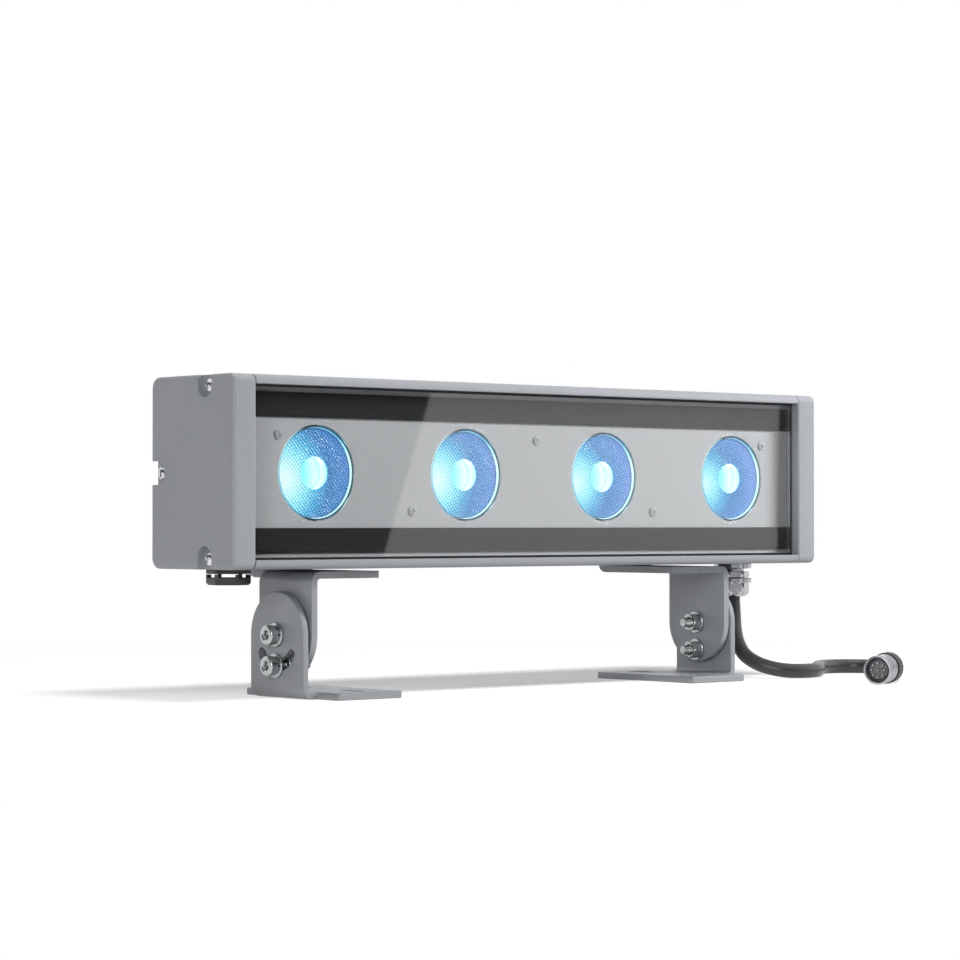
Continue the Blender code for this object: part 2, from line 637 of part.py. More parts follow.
def make_lens(name, x, surface):
    """A collimator: flange on the plate, face with a raised eye deep in a flared dish, cone behind."""
    eye = LENS_EYE_DIAMETER / 2
    dish = LENS_DISH_DIAMETER / 2
    flange = LENS_DIAMETER / 2
    barrel = LENS_BARREL_DIAMETER / 2
    neck = LENS_NECK_DIAMETER / 2
    cavity = LENS_CAVITY_DIAMETER / 2
    top = GAP + LENS_FLANGE
    back = -LENS_DEPTH
    profile = [
        (0, LENS_EYE_RISE - LENS_FACE), (eye * 0.6, LENS_EYE_RISE * 0.75 - LENS_FACE), (eye, -LENS_FACE),
        (dish, -LENS_FACE), (dish + GAP, -LENS_FLANGE), (barrel, top), (flange - GAP, top),
        (flange, top - GAP), (flange, GAP), (barrel, GAP), (barrel, -LENS_RIM), (barrel * 0.9, -LENS_RIM),
        (barrel * 0.72, back * 0.5), (neck, back + 1.5 * MM), (neck, back), (cavity, back),
        (cavity, back + LENS_CAVITY_DEPTH - MM), (cavity * 0.6, back + LENS_CAVITY_DEPTH),
        (0, back + LENS_CAVITY_DEPTH),
    ]
    bm = bmesh.new()
    add_turned(bm, profile, facing((0, -1, 0), (x, PLATE_FRONT, MIDDLE)), 24)
    link(name, bm, surface)


def make_led(name, x, surface):
    """A square base with a low dome."""
    back = LED_BOARD_FRONT - GAP
    half = LED_WIDTH / 2
    bm = bmesh.new()
    add_box(bm, (x - half, back - LED_BASE, MIDDLE - half), (x + half, back, MIDDLE + half))
    led = link(name, bm, surface)
    radius = LED_DOME_RADIUS
    profile = [(0, -LED_BASE / 2), (radius, -LED_BASE / 2), (radius, 0)]
    profile += [(radius * math.cos(angle), radius * 0.6 * math.sin(angle)) for angle in bend_angles(3)[1:-1]]
    profile.append((0, radius * 0.6))
    dome = bmesh.new()
    add_turned(dome, profile, facing((0, -1, 0), (x, back - LED_BASE, MIDDLE)), 12)
    combine(led, dome, "UNION")


def make_led_board(surface):
    half = SPREADER_END - LED_BOARD_INSET
    rise = LED_BOARD_HEIGHT / 2
    bm = bmesh.new()
    add_box(bm, (-half, LED_BOARD_FRONT, MIDDLE - rise), (half, LED_BOARD_BACK, MIDDLE + rise))
    link("led_board", bm, surface)


def driver_standoff_places():
    places = []
    for x_side in SIDES.values():
        for z_side in SIDES.values():
            x = DRIVER_BOARD_CENTRE + x_side * (DRIVER_BOARD_LENGTH / 2 - DRIVER_STANDOFF_INSET)
            z = MIDDLE + z_side * (DRIVER_BOARD_HEIGHT / 2 - DRIVER_STANDOFF_INSET)
            places.append((x, z))
    return places


def make_heat_spreader(surface):
    """A channel that bears on the top and bottom walls, with posts for the plate and driver."""
    low = UNDERSIDE + WALL + GAP
    high = TOP - WALL - GAP
    back = SPREADER_BACK + SPREADER_FLANGE
    outline = [
        (SPREADER_FRONT, low), (back, low), (back, low + WALL), (SPREADER_BACK, low + WALL),
        (SPREADER_BACK, high - WALL), (back, high - WALL), (back, high), (SPREADER_FRONT, high),
    ]
    bm = bmesh.new()
    half = SPREADER_END
    add_prism(bm, outline, "X", -half, half)
    spreader = link("heat_spreader", bm, surface)
    posts = bmesh.new()
    bore = PLATE_SCREW_DIAMETER / 2 + GAP
    root = MM                                   # how far a post runs into the plate
    reach = SPREADER_FRONT - PLATE_BACK - GAP
    depth = PLATE_SCREW_LENGTH
    for x, z in plate_screw_places():
        profile = [
            (0, -depth), (bore, -depth), (bore, 0), (STANDOFF_RADIUS, 0),
            (STANDOFF_RADIUS, -reach - root), (0, -reach - root),
        ]
        add_turned(posts, profile, facing((0, -1, 0), (x, PLATE_BACK + GAP, z)), 8)
    for x, z in driver_standoff_places():
        profile = [
            (0, -root), (STANDOFF_RADIUS, -root), (STANDOFF_RADIUS, DRIVER_STANDOFF), (0, DRIVER_STANDOFF),
        ]
        add_turned(posts, profile, facing((0, 1, 0), (x, SPREADER_BACK, z)), 8)
    combine(spreader, posts, "UNION")
    notches = bmesh.new()
    length, height = SPREADER_NOTCH
    for side in SIDES.values():
        ends = sorted((side * (half - length), side * (half + MM)))
        add_box(notches, (ends[0], FRONT, UNDERSIDE), (ends[1], REAR, UNDERSIDE + height))
    combine(spreader, notches)


def driver_block_places():
    """Start in X, start in Z, length and height of the parts on the driver board."""
    low_x = DRIVER_BOARD_CENTRE - DRIVER_BOARD_LENGTH / 2
    blocks = [(30, -20, 32, 28), (84, -18, 14, 34), (112, -18, 14, 34), (180, -20, 16, 12)]
    return [(low_x + x * MM, MIDDLE + z * MM, length * MM, height * MM) for x, z, length, height in blocks]


def make_driver_board(surface):
    """The circuit board with its transformer, two capacitors and a terminal block."""
    half = DRIVER_BOARD_LENGTH / 2
    rise = DRIVER_BOARD_HEIGHT / 2
    front = SPREADER_BACK + DRIVER_STANDOFF + GAP
    back = front + BOARD_THICKNESS
    bm = bmesh.new()
    low = (DRIVER_BOARD_CENTRE - half, front, MIDDLE - rise)
    add_box(bm, low, (DRIVER_BOARD_CENTRE + half, back, MIDDLE + rise))
    board = link("driver_board", bm, surface)
    parts = bmesh.new()
    for x, z, length, height in driver_block_places():
        add_box(parts, (x, back - BOARD_THICKNESS / 2, z), (x + length, driver_block_back(), z + height))
    combine(board, parts, "UNION")


def driver_block_back():
    return REAR - CAP_SCREW_INSET - SCREW_BOSS_RADIUS - 2 * MM


def vent_frame():
    return Matrix.Translation((VENT_X, 0, UNDERSIDE)) @ Matrix.Rotation(math.radians(VENT_TURN), 4, "Z")


def make_vent_body(surface):
    """Threaded stem through the wall, and under it a six-sided flange."""
    half = VENT_ACROSS_FLATS / 2
    stem = VENT_STEM_DIAMETER / 2
    profile = [
        (0, VENT_STEM_LENGTH), (stem, VENT_STEM_LENGTH), (stem, -GAP), (half, -GAP, "hex"),
        (half, -VENT_FLANGE, "hex"), (0, -VENT_FLANGE),
    ]
    bm = bmesh.new()
    add_turned(bm, profile, vent_frame(), 12)
    link("vent_body", bm, surface)


def make_vent_cap(surface):
    """A six-sided cup. Its rim is cut away between the corners, to let air through."""
    half = VENT_ACROSS_FLATS / 2
    bore = half - VENT_WALL
    top = -VENT_FLANGE - GAP
    edge = 1.2 * MM
    profile = [
        (0, -VENT_HEIGHT), (half - edge, -VENT_HEIGHT, "hex"), (half, -VENT_HEIGHT + edge, "hex"),
        (half, top, "hex"), (bore, top), (bore, -VENT_HEIGHT + VENT_WALL), (0, -VENT_HEIGHT + VENT_WALL),
    ]
    place = vent_frame()
    bm = bmesh.new()
    add_turned(bm, profile, place, 24)
    cap = link("vent_cap", bm, surface)
    slots = bmesh.new()
    reach = 1.5 * half
    side = VENT_SLOT_WIDTH / 2
    outline = [(-reach, -side), (reach, -side), (reach, side), (-reach, side)]
    for turn in range(3):
        frame = place @ Matrix.Rotation(math.radians(60 * turn + 30), 4, "Z")
        add_key_hole(slots, outline, frame, top - VENT_SLOT_HEIGHT, top + MM)
    combine(cap, slots, own_overlaps=True)


def gland_frame():
    return Matrix.Translation((GLAND_X, 0, UNDERSIDE)) @ Matrix.Rotation(math.radians(GLAND_TURN), 4, "Z")


def make_gland_body(surface):
    """Threaded stem through the wall, round flange, neck and a hexagon for the spanner."""
    bore = CABLE_DIAMETER / 2 + GAP
    stem = GLAND_STEM_DIAMETER / 2
    flange = GLAND_FLANGE_DIAMETER / 2
    neck = GLAND_NECK_DIAMETER / 2
    flat = GLAND_HEX / 2
    profile = [
        (bore, GLAND_STEM_LENGTH), (stem, GLAND_STEM_LENGTH), (stem, -GAP),
        (flange, -GAP), (flange, -GLAND_FLANGE),
        (neck, -GLAND_FLANGE), (neck, GAP - GLAND_BODY + GLAND_HEX_HEIGHT),
        (flat, GAP - GLAND_BODY + GLAND_HEX_HEIGHT, "hex"), (flat, GAP - GLAND_BODY, "hex"),
        (bore, GAP - GLAND_BODY),
    ]
    bm = bmesh.new()
    add_turned(bm, profile, gland_frame(), 24, closed=True)
    link("gland_body", bm, surface)


def make_gland_seal(surface):
    bore = CABLE_DIAMETER / 2 + GAP
    outer = bore + SEAL_SLEEVE
    low = -GLAND_LENGTH + GLAND_CAP_FLOOR + GAP
    profile = [(bore, -GLAND_BODY), (outer, -GLAND_BODY), (outer, low), (bore, low)]
    bm = bmesh.new()
    add_turned(bm, profile, gland_frame(), 16, closed=True)
    link("gland_seal", bm, surface)


def make_gland_cap_nut(surface):
    """Flange, hexagon and dome, hollow for the seal, with a mouth for the lead."""
    mouth = CABLE_MOUTH / 2
    inside = CABLE_DIAMETER / 2 + SEAL_SLEEVE + 2 * GAP
    flange = GLAND_FLANGE_DIAMETER / 2
    flat = GLAND_HEX / 2
    low = -GLAND_LENGTH
    profile = [
        (inside, -GLAND_BODY), (flange, -GLAND_BODY), (flange, -GLAND_BODY - GLAND_NUT_FLANGE),
        (flat, -GLAND_BODY - GLAND_NUT_FLANGE, "hex"), (flat, low + 2.4 * MM, "hex"),
        (flat, low + 1.8 * MM), (flat * 0.9, low + 0.6 * MM), (flat * 0.74, low), (mouth, low),
        (mouth, low + GLAND_CAP_FLOOR), (inside, low + GLAND_CAP_FLOOR),
    ]
    bm = bmesh.new()
    add_turned(bm, profile, gland_frame(), 24, closed=True)
    link("gland_cap_nut", bm, surface)


def bend_angles(steps=4):
    """Angles of a quarter turn, in radians."""
    return [math.pi / 2 * step / steps for step in range(steps + 1)]


def bent_strip(start, corner, end):
    """Outline of a sheet bent once: its outer side from start round the corner to end.

    Both legs run along an axis. The sheet lies on the inner side of the corner.
    """
    start, corner, end = Vector(start), Vector(corner), Vector(end)
    back = (start - corner).normalized()
    ahead = (end - corner).normalized()
    centre = corner + (back + ahead) * (BEND + SHEET)
    outer = [centre - back * (BEND + SHEET) * math.sin(a) - ahead * (BEND + SHEET) * math.cos(a)
             for a in bend_angles()]
    inner = [centre - back * BEND * math.sin(a) - ahead * BEND * math.cos(a) for a in bend_angles()]
    outline = [start] + outer + [end, end + back * SHEET] + inner[::-1] + [start + ahead * SHEET]
    return [tuple(point) for point in outline]


def arch_cutter(flip):
    """Y and Z outline of what is cut away round a plate with a half-round end at the pivot."""
    half = PLATE_WIDTH / 2
    wide = FOOT_HALF_WIDTH + MM
    far = PIVOT_HEIGHT - flip * (PIVOT_HEIGHT + MM)
    beyond = PIVOT_HEIGHT + flip * (half + MM)
    outline = [(-wide, far), (-half, far)]
    outline += arc((0, PIVOT_HEIGHT), half, 180, 180 - 180 * flip, 24)
    outline += [(half, far), (wide, far), (wide, beyond), (-wide, beyond)]
    return outline


def curved_slot():
    """Y and Z outline of the slot that the clamp bolt travels in, centred on the pivot."""
    sweep = TILT_LIMIT + SLOT_SPARE
    near, far = SLOT_RADIUS - SLOT_WIDTH / 2, SLOT_RADIUS + SLOT_WIDTH / 2
    pivot = (0, PIVOT_HEIGHT)
    outline = arc(pivot, far, 270 - sweep, 270 + sweep, 20)
    last = arc(pivot, SLOT_RADIUS, 270 + sweep, 270 + sweep, 1)[0]
    outline += arc(last, SLOT_WIDTH / 2, sweep - 90, sweep + 90, 6)[1:-1]
    outline += arc(pivot, near, 270 + sweep, 270 - sweep, 16)
    first = arc(pivot, SLOT_RADIUS, 270 - sweep, 270 - sweep, 1)[0]
    outline += arc(first, SLOT_WIDTH / 2, 90 - sweep, 270 - sweep, 6)[1:-1]
    return outline


def triangle(point, reach_x, reach_y):
    """A corner cut: a triangle whose square corner is at the point, a little outside it."""
    x, y = point
    out_x, out_y = math.copysign(MM, reach_x), math.copysign(MM, reach_y)
    return [(x - out_x, y - out_y), (x + reach_x + out_y * reach_x / reach_y, y - out_y),
            (x - out_x, y + reach_y + out_x * reach_y / reach_x)]


def soften(piece):
    """Break the sheet's edges."""
    bevel = piece.modifiers.new("edge", "BEVEL")
    bevel.width = SHEET_EDGE
    bevel.segments = 1
    bevel.limit_method = "ANGLE"
    bevel.angle_limit = math.radians(50)


def make_foot(name, side, surface):
    """Upright plate with a half-round top and curved slot, bent out into a wider base."""
    inner_end = FOOT_OUTER - FOOT_REACH
    neck_end = FOOT_OUTER - FOOT_NECK
    top = PIVOT_HEIGHT + PLATE_WIDTH / 2
    wide = FOOT_HALF_WIDTH
    outline = bent_strip((FOOT_OUTER, top), (FOOT_OUTER, 0), (inner_end, 0))
    bm = bmesh.new()
    add_prism(bm, [(side * x, z) for x, z in outline], "Y", -wide, wide)
    foot = link(name, bm, surface)
    shape = bmesh.new()
    add_prism(shape, arch_cutter(1), "X", side * neck_end, side * (FOOT_OUTER + MM))
    combine(foot, shape)
    corners = bmesh.new()
    for y_side in SIDES.values():
        for x, inward in ((inner_end, 1), (neck_end, -1)):
            outline = triangle((x, y_side * wide), inward * FOOT_CHAMFER, -y_side * FOOT_CHAMFER)
            add_prism(corners, [(side * a, b) for a, b in outline], "Z", -MM, SHEET + MM)
    notch = [(inner_end - MM, -NOTCH - MM), (inner_end + NOTCH, 0), (inner_end - MM, NOTCH + MM)]
    add_prism(corners, [(side * x, y) for x, y in notch], "Z", -MM, SHEET + MM)
    combine(foot, corners)
    soften(foot)
    holes = bmesh.new()
    ends = (side * (FOOT_INNER - MM), side * (FOOT_OUTER + MM))
    add_prism(holes, circle((0, PIVOT_HEIGHT), SLOT_WIDTH / 2, 16), "X", *ends)
    add_prism(holes, curved_slot(), "X", *ends)
    for y_side in SIDES.values():
        centre = (side * (FOOT_OUTER - FIXING_SLOT_INSET), y_side * FIXING_SLOT_SPACING / 2)
        add_prism(holes, slot_outline(centre, FIXING_SLOT_LENGTH, FIXING_SLOT_WIDTH), "Z", -MM, SHEET + MM)
    combine(foot, holes)


def arm_screw_places(side):
    """X of the two screws in the arm's leg."""
    middle = ARM_OUTER - (ARM_REACH + BEND + SHEET) / 2
    return [side * middle - ARM_SCREW_SPACING / 2, side * middle + ARM_SCREW_SPACING / 2]


def make_arm(name, side, surface):
    """Hanging plate, flange under the housing and a leg up behind it, bent from one sheet."""
    half = PLATE_WIDTH / 2
    tangent = ARM_OUTER - BEND - SHEET
    inner_end = ARM_OUTER - ARM_REACH
    low = PIVOT_HEIGHT - half
    under = ARM_TOP - SHEET
    overlap = SHEET / 2
    outline = bent_strip((ARM_OUTER, low), (ARM_OUTER, ARM_TOP), (tangent - overlap, ARM_TOP))
    bm = bmesh.new()
    add_prism(bm, [(side * x, z) for x, z in outline], "Y", -half, half)
    arm = link(name, bm, surface)
    flange = bmesh.new()
    outline = bent_strip((-half, under), (ARM_LEG_OUTER, under), (ARM_LEG_OUTER, ARM_TOP + ARM_LEG_HEIGHT))
    add_prism(flange, outline, "X", side * inner_end, side * tangent)
    combine(arm, flange, "UNION")
    shape = bmesh.new()
    add_prism(shape, arch_cutter(-1), "X", side * (ARM_INNER - MM), side * (ARM_OUTER + MM))
    combine(arm, shape)
    cuts = bmesh.new()
    corner = triangle((inner_end, -half), FOOT_CHAMFER, FOOT_CHAMFER)
    middle = (ARM_OUTER + inner_end) / 2
    notch = [(middle - NOTCH - MM, -half - MM), (middle, -half + NOTCH), (middle + NOTCH + MM, -half - MM)]
    for outline in (corner, notch):
        add_prism(cuts, [(side * x, y) for x, y in outline], "Z", under - MM, ARM_TOP + MM)
    leg_top = ARM_TOP + ARM_LEG_HEIGHT
    for x, inward in ((inner_end, 1), (tangent, -1)):
        outline = triangle((x, leg_top), inward * FOOT_CHAMFER, -FOOT_CHAMFER)
        add_prism(cuts, [(side * a, b) for a, b in outline], "Y", REAR, ARM_LEG_OUTER + MM)
    combine(arm, cuts)
    soften(arm)
    holes = bmesh.new()
    for z in (PIVOT_HEIGHT, CLAMP_HEIGHT):
        outline = circle((0, z), SLOT_WIDTH / 2, 16)
        add_prism(holes, outline, "X", side * (ARM_INNER - MM), side * (ARM_OUTER + MM))
    bore = ARM_SCREW_DIAMETER / 2 + GAP
    sink = ARM_SCREW_HEAD / 2 + GAP
    for x in arm_screw_places(side):
        frame = facing((0, 1, 0), (x, ARM_LEG_OUTER, UNDERSIDE + SLOT_HEIGHT))
        past = SHEET + MM
        profile = [(0, -past), (bore, -past), (bore, bore - sink), (sink, 0), (sink, MM), (0, MM)]
        add_turned(holes, profile, frame, 16)
    combine(arm, holes)


def make_slide_nut(name, side, surface):
    """Flat bar that lies in the housing's slot and takes the arm's two screws."""
    places = arm_screw_places(side)
    middle = sum(places) / 2
    z = UNDERSIDE + SLOT_HEIGHT
    rise = SLOT_INSIDE / 2 - GAP
    half = SLIDE_NUT_LENGTH / 2
    bm = bmesh.new()
    low = (middle - half, REAR - SLOT_DEPTH + GAP, z - rise)
    add_box(bm, low, (middle + half, REAR - SLOT_LIP - GAP, z + rise))
    nut = link(name, bm, surface)
    holes = bmesh.new()
    for x in places:
        outline = circle((x, z), ARM_SCREW_DIAMETER / 2 + GAP, 12)
        add_prism(holes, outline, "Y", REAR - SLOT_DEPTH - MM, REAR)
    combine(nut, holes)


def make_arm_screw(name, x, surface):
    """Countersunk screw with a hexagon socket, just below the leg's outer face."""
    head = ARM_SCREW_HEAD / 2
    shank = ARM_SCREW_DIAMETER / 2
    length = ARM_LEG_OUTER - REAR + SLOT_DEPTH - 2 * GAP
    profile = [(0, -length), (shank, -length), (shank, shank - head), (head, 0), (0, 0)]
    frame = facing((0, 1, 0), (x, ARM_LEG_OUTER - GAP, UNDERSIDE + SLOT_HEIGHT))
    bm = bmesh.new()
    add_turned(bm, profile, frame, 16)
    screw = link(name, bm, surface)
    socket = bmesh.new()
    add_key_hole(socket, circle((0, 0), 1.7 * MM, 6), frame, -1.8 * MM, MM)
    combine(screw, socket)


def bolt_frame(side, height):
    """A frame on a foot's outer face, its Z axis pointing outwards."""
    return facing((side, 0, 0), (side * FOOT_OUTER, 0, height))


def make_bolt(name, side, height, surface):
    """Socket bolt with its spring washer, its flat washer and the spacer behind the foot."""
    shank = BOLT_DIAMETER / 2
    washer = WASHER_DIAMETER / 2
    head = BOLT_HEAD_DIAMETER / 2
    seat = GAP + WASHER_THICKNESS
    under_head = seat + SPRING_WASHER_THICKNESS
    end = under_head - BOLT_LENGTH
    edge = 0.6 * MM
    top = under_head + BOLT_HEAD_HEIGHT
    profile = [
        (0, end), (shank - edge, end), (shank, end + edge), (shank, GAP - SHEET - ARM_STANDOFF),
        (washer, GAP - SHEET - ARM_STANDOFF), (washer, -SHEET - GAP), (shank, -SHEET - GAP), (shank, GAP),
        (washer, GAP), (washer, seat), (head * 0.96, seat), (head * 0.96, under_head), (head, under_head),
        (head, top - edge), (head - edge, top), (0, top),
    ]
    frame = bolt_frame(side, height)
    bm = bmesh.new()
    add_turned(bm, profile, frame, 16)
    bolt = link(name, bm, surface)
    socket = bmesh.new()
    key = HEX_KEY / math.sqrt(3)
    add_key_hole(socket, circle((0, 0), key, 6), frame, top - HEX_KEY * 0.7, top + MM)
    combine(bolt, socket)


def make_nut(name, side, height, surface):
    """Hexagon nut with the washer under it."""
    bore = BOLT_DIAMETER / 2 + GAP
    seat = -SHEET * 2 - ARM_STANDOFF - GAP
    face = seat - WASHER_THICKNESS
    flat = NUT_ACROSS_FLATS / 2
    edge = 0.5 * MM
    washer = WASHER_DIAMETER / 2
    profile = [
        (bore, seat), (washer, seat), (washer, face), (flat, face, "hex"),
        (flat, face - NUT_HEIGHT + edge, "hex"), (flat * 0.96, face - NUT_HEIGHT), (bore, face - NUT_HEIGHT),
    ]
    bm = bmesh.new()
    add_turned(bm, profile, bolt_frame(side, height), 12, closed=True)
    link(name, bm, surface)


def connector_frame():
    """A frame at the connector's open front, its Z axis pointing to the way the lead leaves."""
    turn, rise = math.radians(CONNECTOR_TURN), math.radians(CONNECTOR_RISE)
    axis = (math.cos(turn) * math.cos(rise), math.sin(turn) * math.cos(rise), math.sin(rise))
    return facing(axis, CONNECTOR_PLACE)


def make_connector_sleeve(surface):
    """Nickel sleeve, open at the front, with two grip rings."""
    outer = CONNECTOR_DIAMETER / 2
    bore = outer - CONNECTOR_WALL
    length = CONNECTOR_SLEEVE_LENGTH
    groove = outer - 0.5 * MM
    profile = [
        (bore, 0), (outer - 0.4 * MM, 0), (outer, 0.4 * MM), (outer, length * 0.36), (groove, length * 0.42),
        (groove, length * 0.5), (outer, length * 0.56), (outer, length * 0.7), (groove, length * 0.76),
        (groove, length * 0.84), (outer, length * 0.9), (outer, length), (bore, length),
    ]
    bm = bmesh.new()
    add_turned(bm, profile, connector_frame(), 24, closed=True)
    link("connector_sleeve", bm, surface)


def make_connector_insert(surface):
    """Insulating disc in the sleeve, with a ring of contact pins and one in the middle."""
    radius = CONNECTOR_DIAMETER / 2 - CONNECTOR_WALL - GAP
    frame = connector_frame()
    face = CONNECTOR_RECESS
    bm = bmesh.new()
    profile = [(0, face), (radius, face), (radius, CONNECTOR_SLEEVE_LENGTH), (0, CONNECTOR_SLEEVE_LENGTH)]
    add_turned(bm, profile, frame, 24)
    insert = link("connector_insert", bm, surface)
    pins = bmesh.new()
    spots = circle((0, 0), PIN_CIRCLE_RADIUS, PIN_COUNT) + [(0, 0)]
    for x, y in spots:
        pin = [(0, MM), (PIN_RADIUS, MM), (PIN_RADIUS, face + MM), (0, face + MM)]
        add_turned(pins, pin, frame @ Matrix.Translation((x, y, 0)), 6)
    combine(insert, pins, "UNION")


def make_connector_back_nut(surface):
    """Black clamping ring and the short boot that the lead leaves by."""
    outer = CONNECTOR_RING_DIAMETER / 2
    neck = CABLE_DIAMETER / 2 + 1.2 * MM
    bore = CABLE_DIAMETER / 2 + GAP
    front = CONNECTOR_SLEEVE_LENGTH + GAP
    shoulder = front + CONNECTOR_RING_LENGTH
    profile = [
        (bore, front), (outer - 0.5 * MM, front), (outer, front + 0.5 * MM), (outer, shoulder - MM),
        (outer - MM, shoulder), (neck + MM, shoulder), (neck, CONNECTOR_LENGTH), (bore, CONNECTOR_LENGTH),
    ]
    bm = bmesh.new()
    add_turned(bm, profile, connector_frame(), 24, closed=True)
    link("connector_back_nut", bm, surface)


def smooth_path(points, steps):
    """Evenly many points along a smooth curve through all the given ones."""
    points = [Vector(point) for point in points]
    ends = [2 * points[0] - points[1]] + points + [2 * points[-1] - points[-2]]
    path = []
    for step in range(steps + 1):
        place = (len(points) - 1) * step / steps
        index = min(int(place), len(points) - 2)
        t = place - index
        a, b, c, d = ends[index:index + 4]
        path.append(0.5 * (2 * b + (c - a) * t + (2 * a - 5 * b + 4 * c - d) * t * t
                           + (3 * b - a - 3 * c + d) * t * t * t))
    return path


def make_tube(name, points, steps, surface):
    curve = bpy.data.curves.new(name, "CURVE")
    curve.dimensions = "3D"
    curve.bevel_depth = CABLE_DIAMETER / 2
    curve.bevel_resolution = 2
    curve.use_fill_caps = True
    spline = curve.splines.new("POLY")
    path = smooth_path(points, steps)
    spline.points.add(len(path) - 1)
    for point, place in zip(spline.points, path):
        point.co = (*place, 1)
    curve.materials.append(surface)
    tube = bpy.data.objects.new(name, curve)
    bpy.context.scene.collection.objects.link(tube)


def make_cable(surface):
    """The lead outside: from the gland's mouth to the connector's boot."""
    frame = connector_frame()
    points = [(GLAND_X, 0, UNDERSIDE - GLAND_LENGTH - GAP)]
    points += [Vector(point) * MM for point in CABLE_ROUTE]
    points.append(frame @ Vector((0, 0, CONNECTOR_LENGTH + GAP)))
    make_tube("cable", points, CABLE_STEPS, surface)


def make_lead_tail(surface):
    """The lead inside: up through the gland and back to the driver's terminal block."""
    x, z, length, height = driver_block_places()[-1]
    end = (x + length + GAP, (SPREADER_BACK + DRIVER_STANDOFF + driver_block_back()) / 2, z + height / 2)
    turn = LEAD_BEND
    points = [
        (GLAND_X, 0, UNDERSIDE - GLAND_BODY), (GLAND_X, 0, UNDERSIDE + turn * 0.4),
        (GLAND_X, turn * 0.075, UNDERSIDE + turn * 0.8),
        (GLAND_X - turn * 0.05, turn * 0.3, UNDERSIDE + turn * 1.15),
        (GLAND_X - turn * 0.2, turn * 0.6, end[2] - turn * 0.45),
        (GLAND_X - turn * 0.55, end[1] - turn * 0.1, end[2] - turn * 0.225),
        (GLAND_X - turn * 1.1, end[1], end[2] - turn * 0.05), (GLAND_X - turn * 2, end[1], end[2]), end,
    ]
    make_tube("lead_tail", points, 20, surface)


def make_fastened_side(side_name, side, grey, steel, black):
    """Everything that comes once at each end of the housing."""
    make_end_cap(f"{side_name}_end_cap", side, grey)
    make_cap_seal(f"{side_name}_cap_seal", side, black)
    for place, y, z, _ in cap_screw_places():
        make_cap_screw(f"{side_name}_cap_screw_{place}", side, y, z, steel)
    make_arm(f"{side_name}_arm", side, grey)
    make_slide_nut(f"{side_name}_slide_nut", side, steel)
    for number, x in enumerate(arm_screw_places(side), 1):
        make_arm_screw(f"{side_name}_arm_screw_{number}", x, steel)
    make_foot(f"{side_name}_foot", side, grey)
    for place, height in (("pivot", PIVOT_HEIGHT), ("clamp", CLAMP_HEIGHT)):
        make_bolt(f"{side_name}_{place}_bolt", side, height, steel)
        make_nut(f"{side_name}_{place}_nut", side, height, steel)


def make_spotlight():
    grey = material("grey_powder_coat", (0.30, 0.31, 0.33), 0.45, 0.4)
    plate_grey = material("grey_lens_plate", (0.33, 0.34, 0.36), 0.5)
    steel = material("stainless_steel", (0.55, 0.56, 0.57), 0.3, 1.0)
    nickel = material("nickel_plated_brass", (0.62, 0.61, 0.58), 0.25, 1.0)
    black = material("black_rubber", (0.02, 0.02, 0.02), 0.6)
    glass = material("clear_glass", (0.8, 0.85, 0.85), 0.05)
    clear = material("clear_acrylic", (0.25, 0.7, 0.8), 0.1)
    board = material("white_circuit_board", (0.7, 0.7, 0.68), 0.5)
    aluminium = material("bare_aluminium", (0.6, 0.6, 0.6), 0.35, 1.0)
    glow = material("led_phosphor", (0.5, 0.9, 1.0), 0.3)
    nylon = material("black_nylon", (0.025, 0.025, 0.027), 0.5)

    make_housing(grey)
    for side_name, side in SIDES.items():
        make_fastened_side(side_name, side, grey, steel, black)
    make_glass(glass)
    make_glass_gasket(black)
    make_mask_strip("lower_mask_strip", UNDERSIDE + LIP + MASK_MARGIN, nylon)
    make_mask_strip("upper_mask_strip", TOP - LIP - MASK_MARGIN - MASK_HEIGHT, nylon)
    make_lens_plate(plate_grey)
    for number, (x, z) in enumerate(plate_screw_places(), 1):
        make_plate_screw(f"plate_screw_{number}", x, z, steel)
    for number, x in enumerate(lens_positions(), 1):
        make_lens(f"lens_{number}", x, clear)
        make_led(f"led_{number}", x, glow)
    make_led_board(board)
    make_heat_spreader(aluminium)
    make_driver_board(board)
    make_vent_body(nylon)
    make_vent_cap(nylon)
    make_gland_body(nickel)
    make_gland_seal(black)
    make_gland_cap_nut(nickel)
    make_lead_tail(black)
    make_cable(black)
    make_connector_sleeve(nickel)
    make_connector_insert(nylon)
    make_connector_back_nut(nylon)


for leftover in list(bpy.data.objects):
    bpy.data.objects.remove(leftover)
make_spotlight()
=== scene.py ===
"""Looks of a linear LED spotlight on two tilting feet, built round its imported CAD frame.

Metres, in the frame's own axes: X runs along the housing, its glazed front faces -Y, +Z is up
and the feet stand on the floor at zero. Left and right are the ends at -X and +X.
"""

import json
import math

import bmesh
import bpy
from mathutils import Matrix, Vector

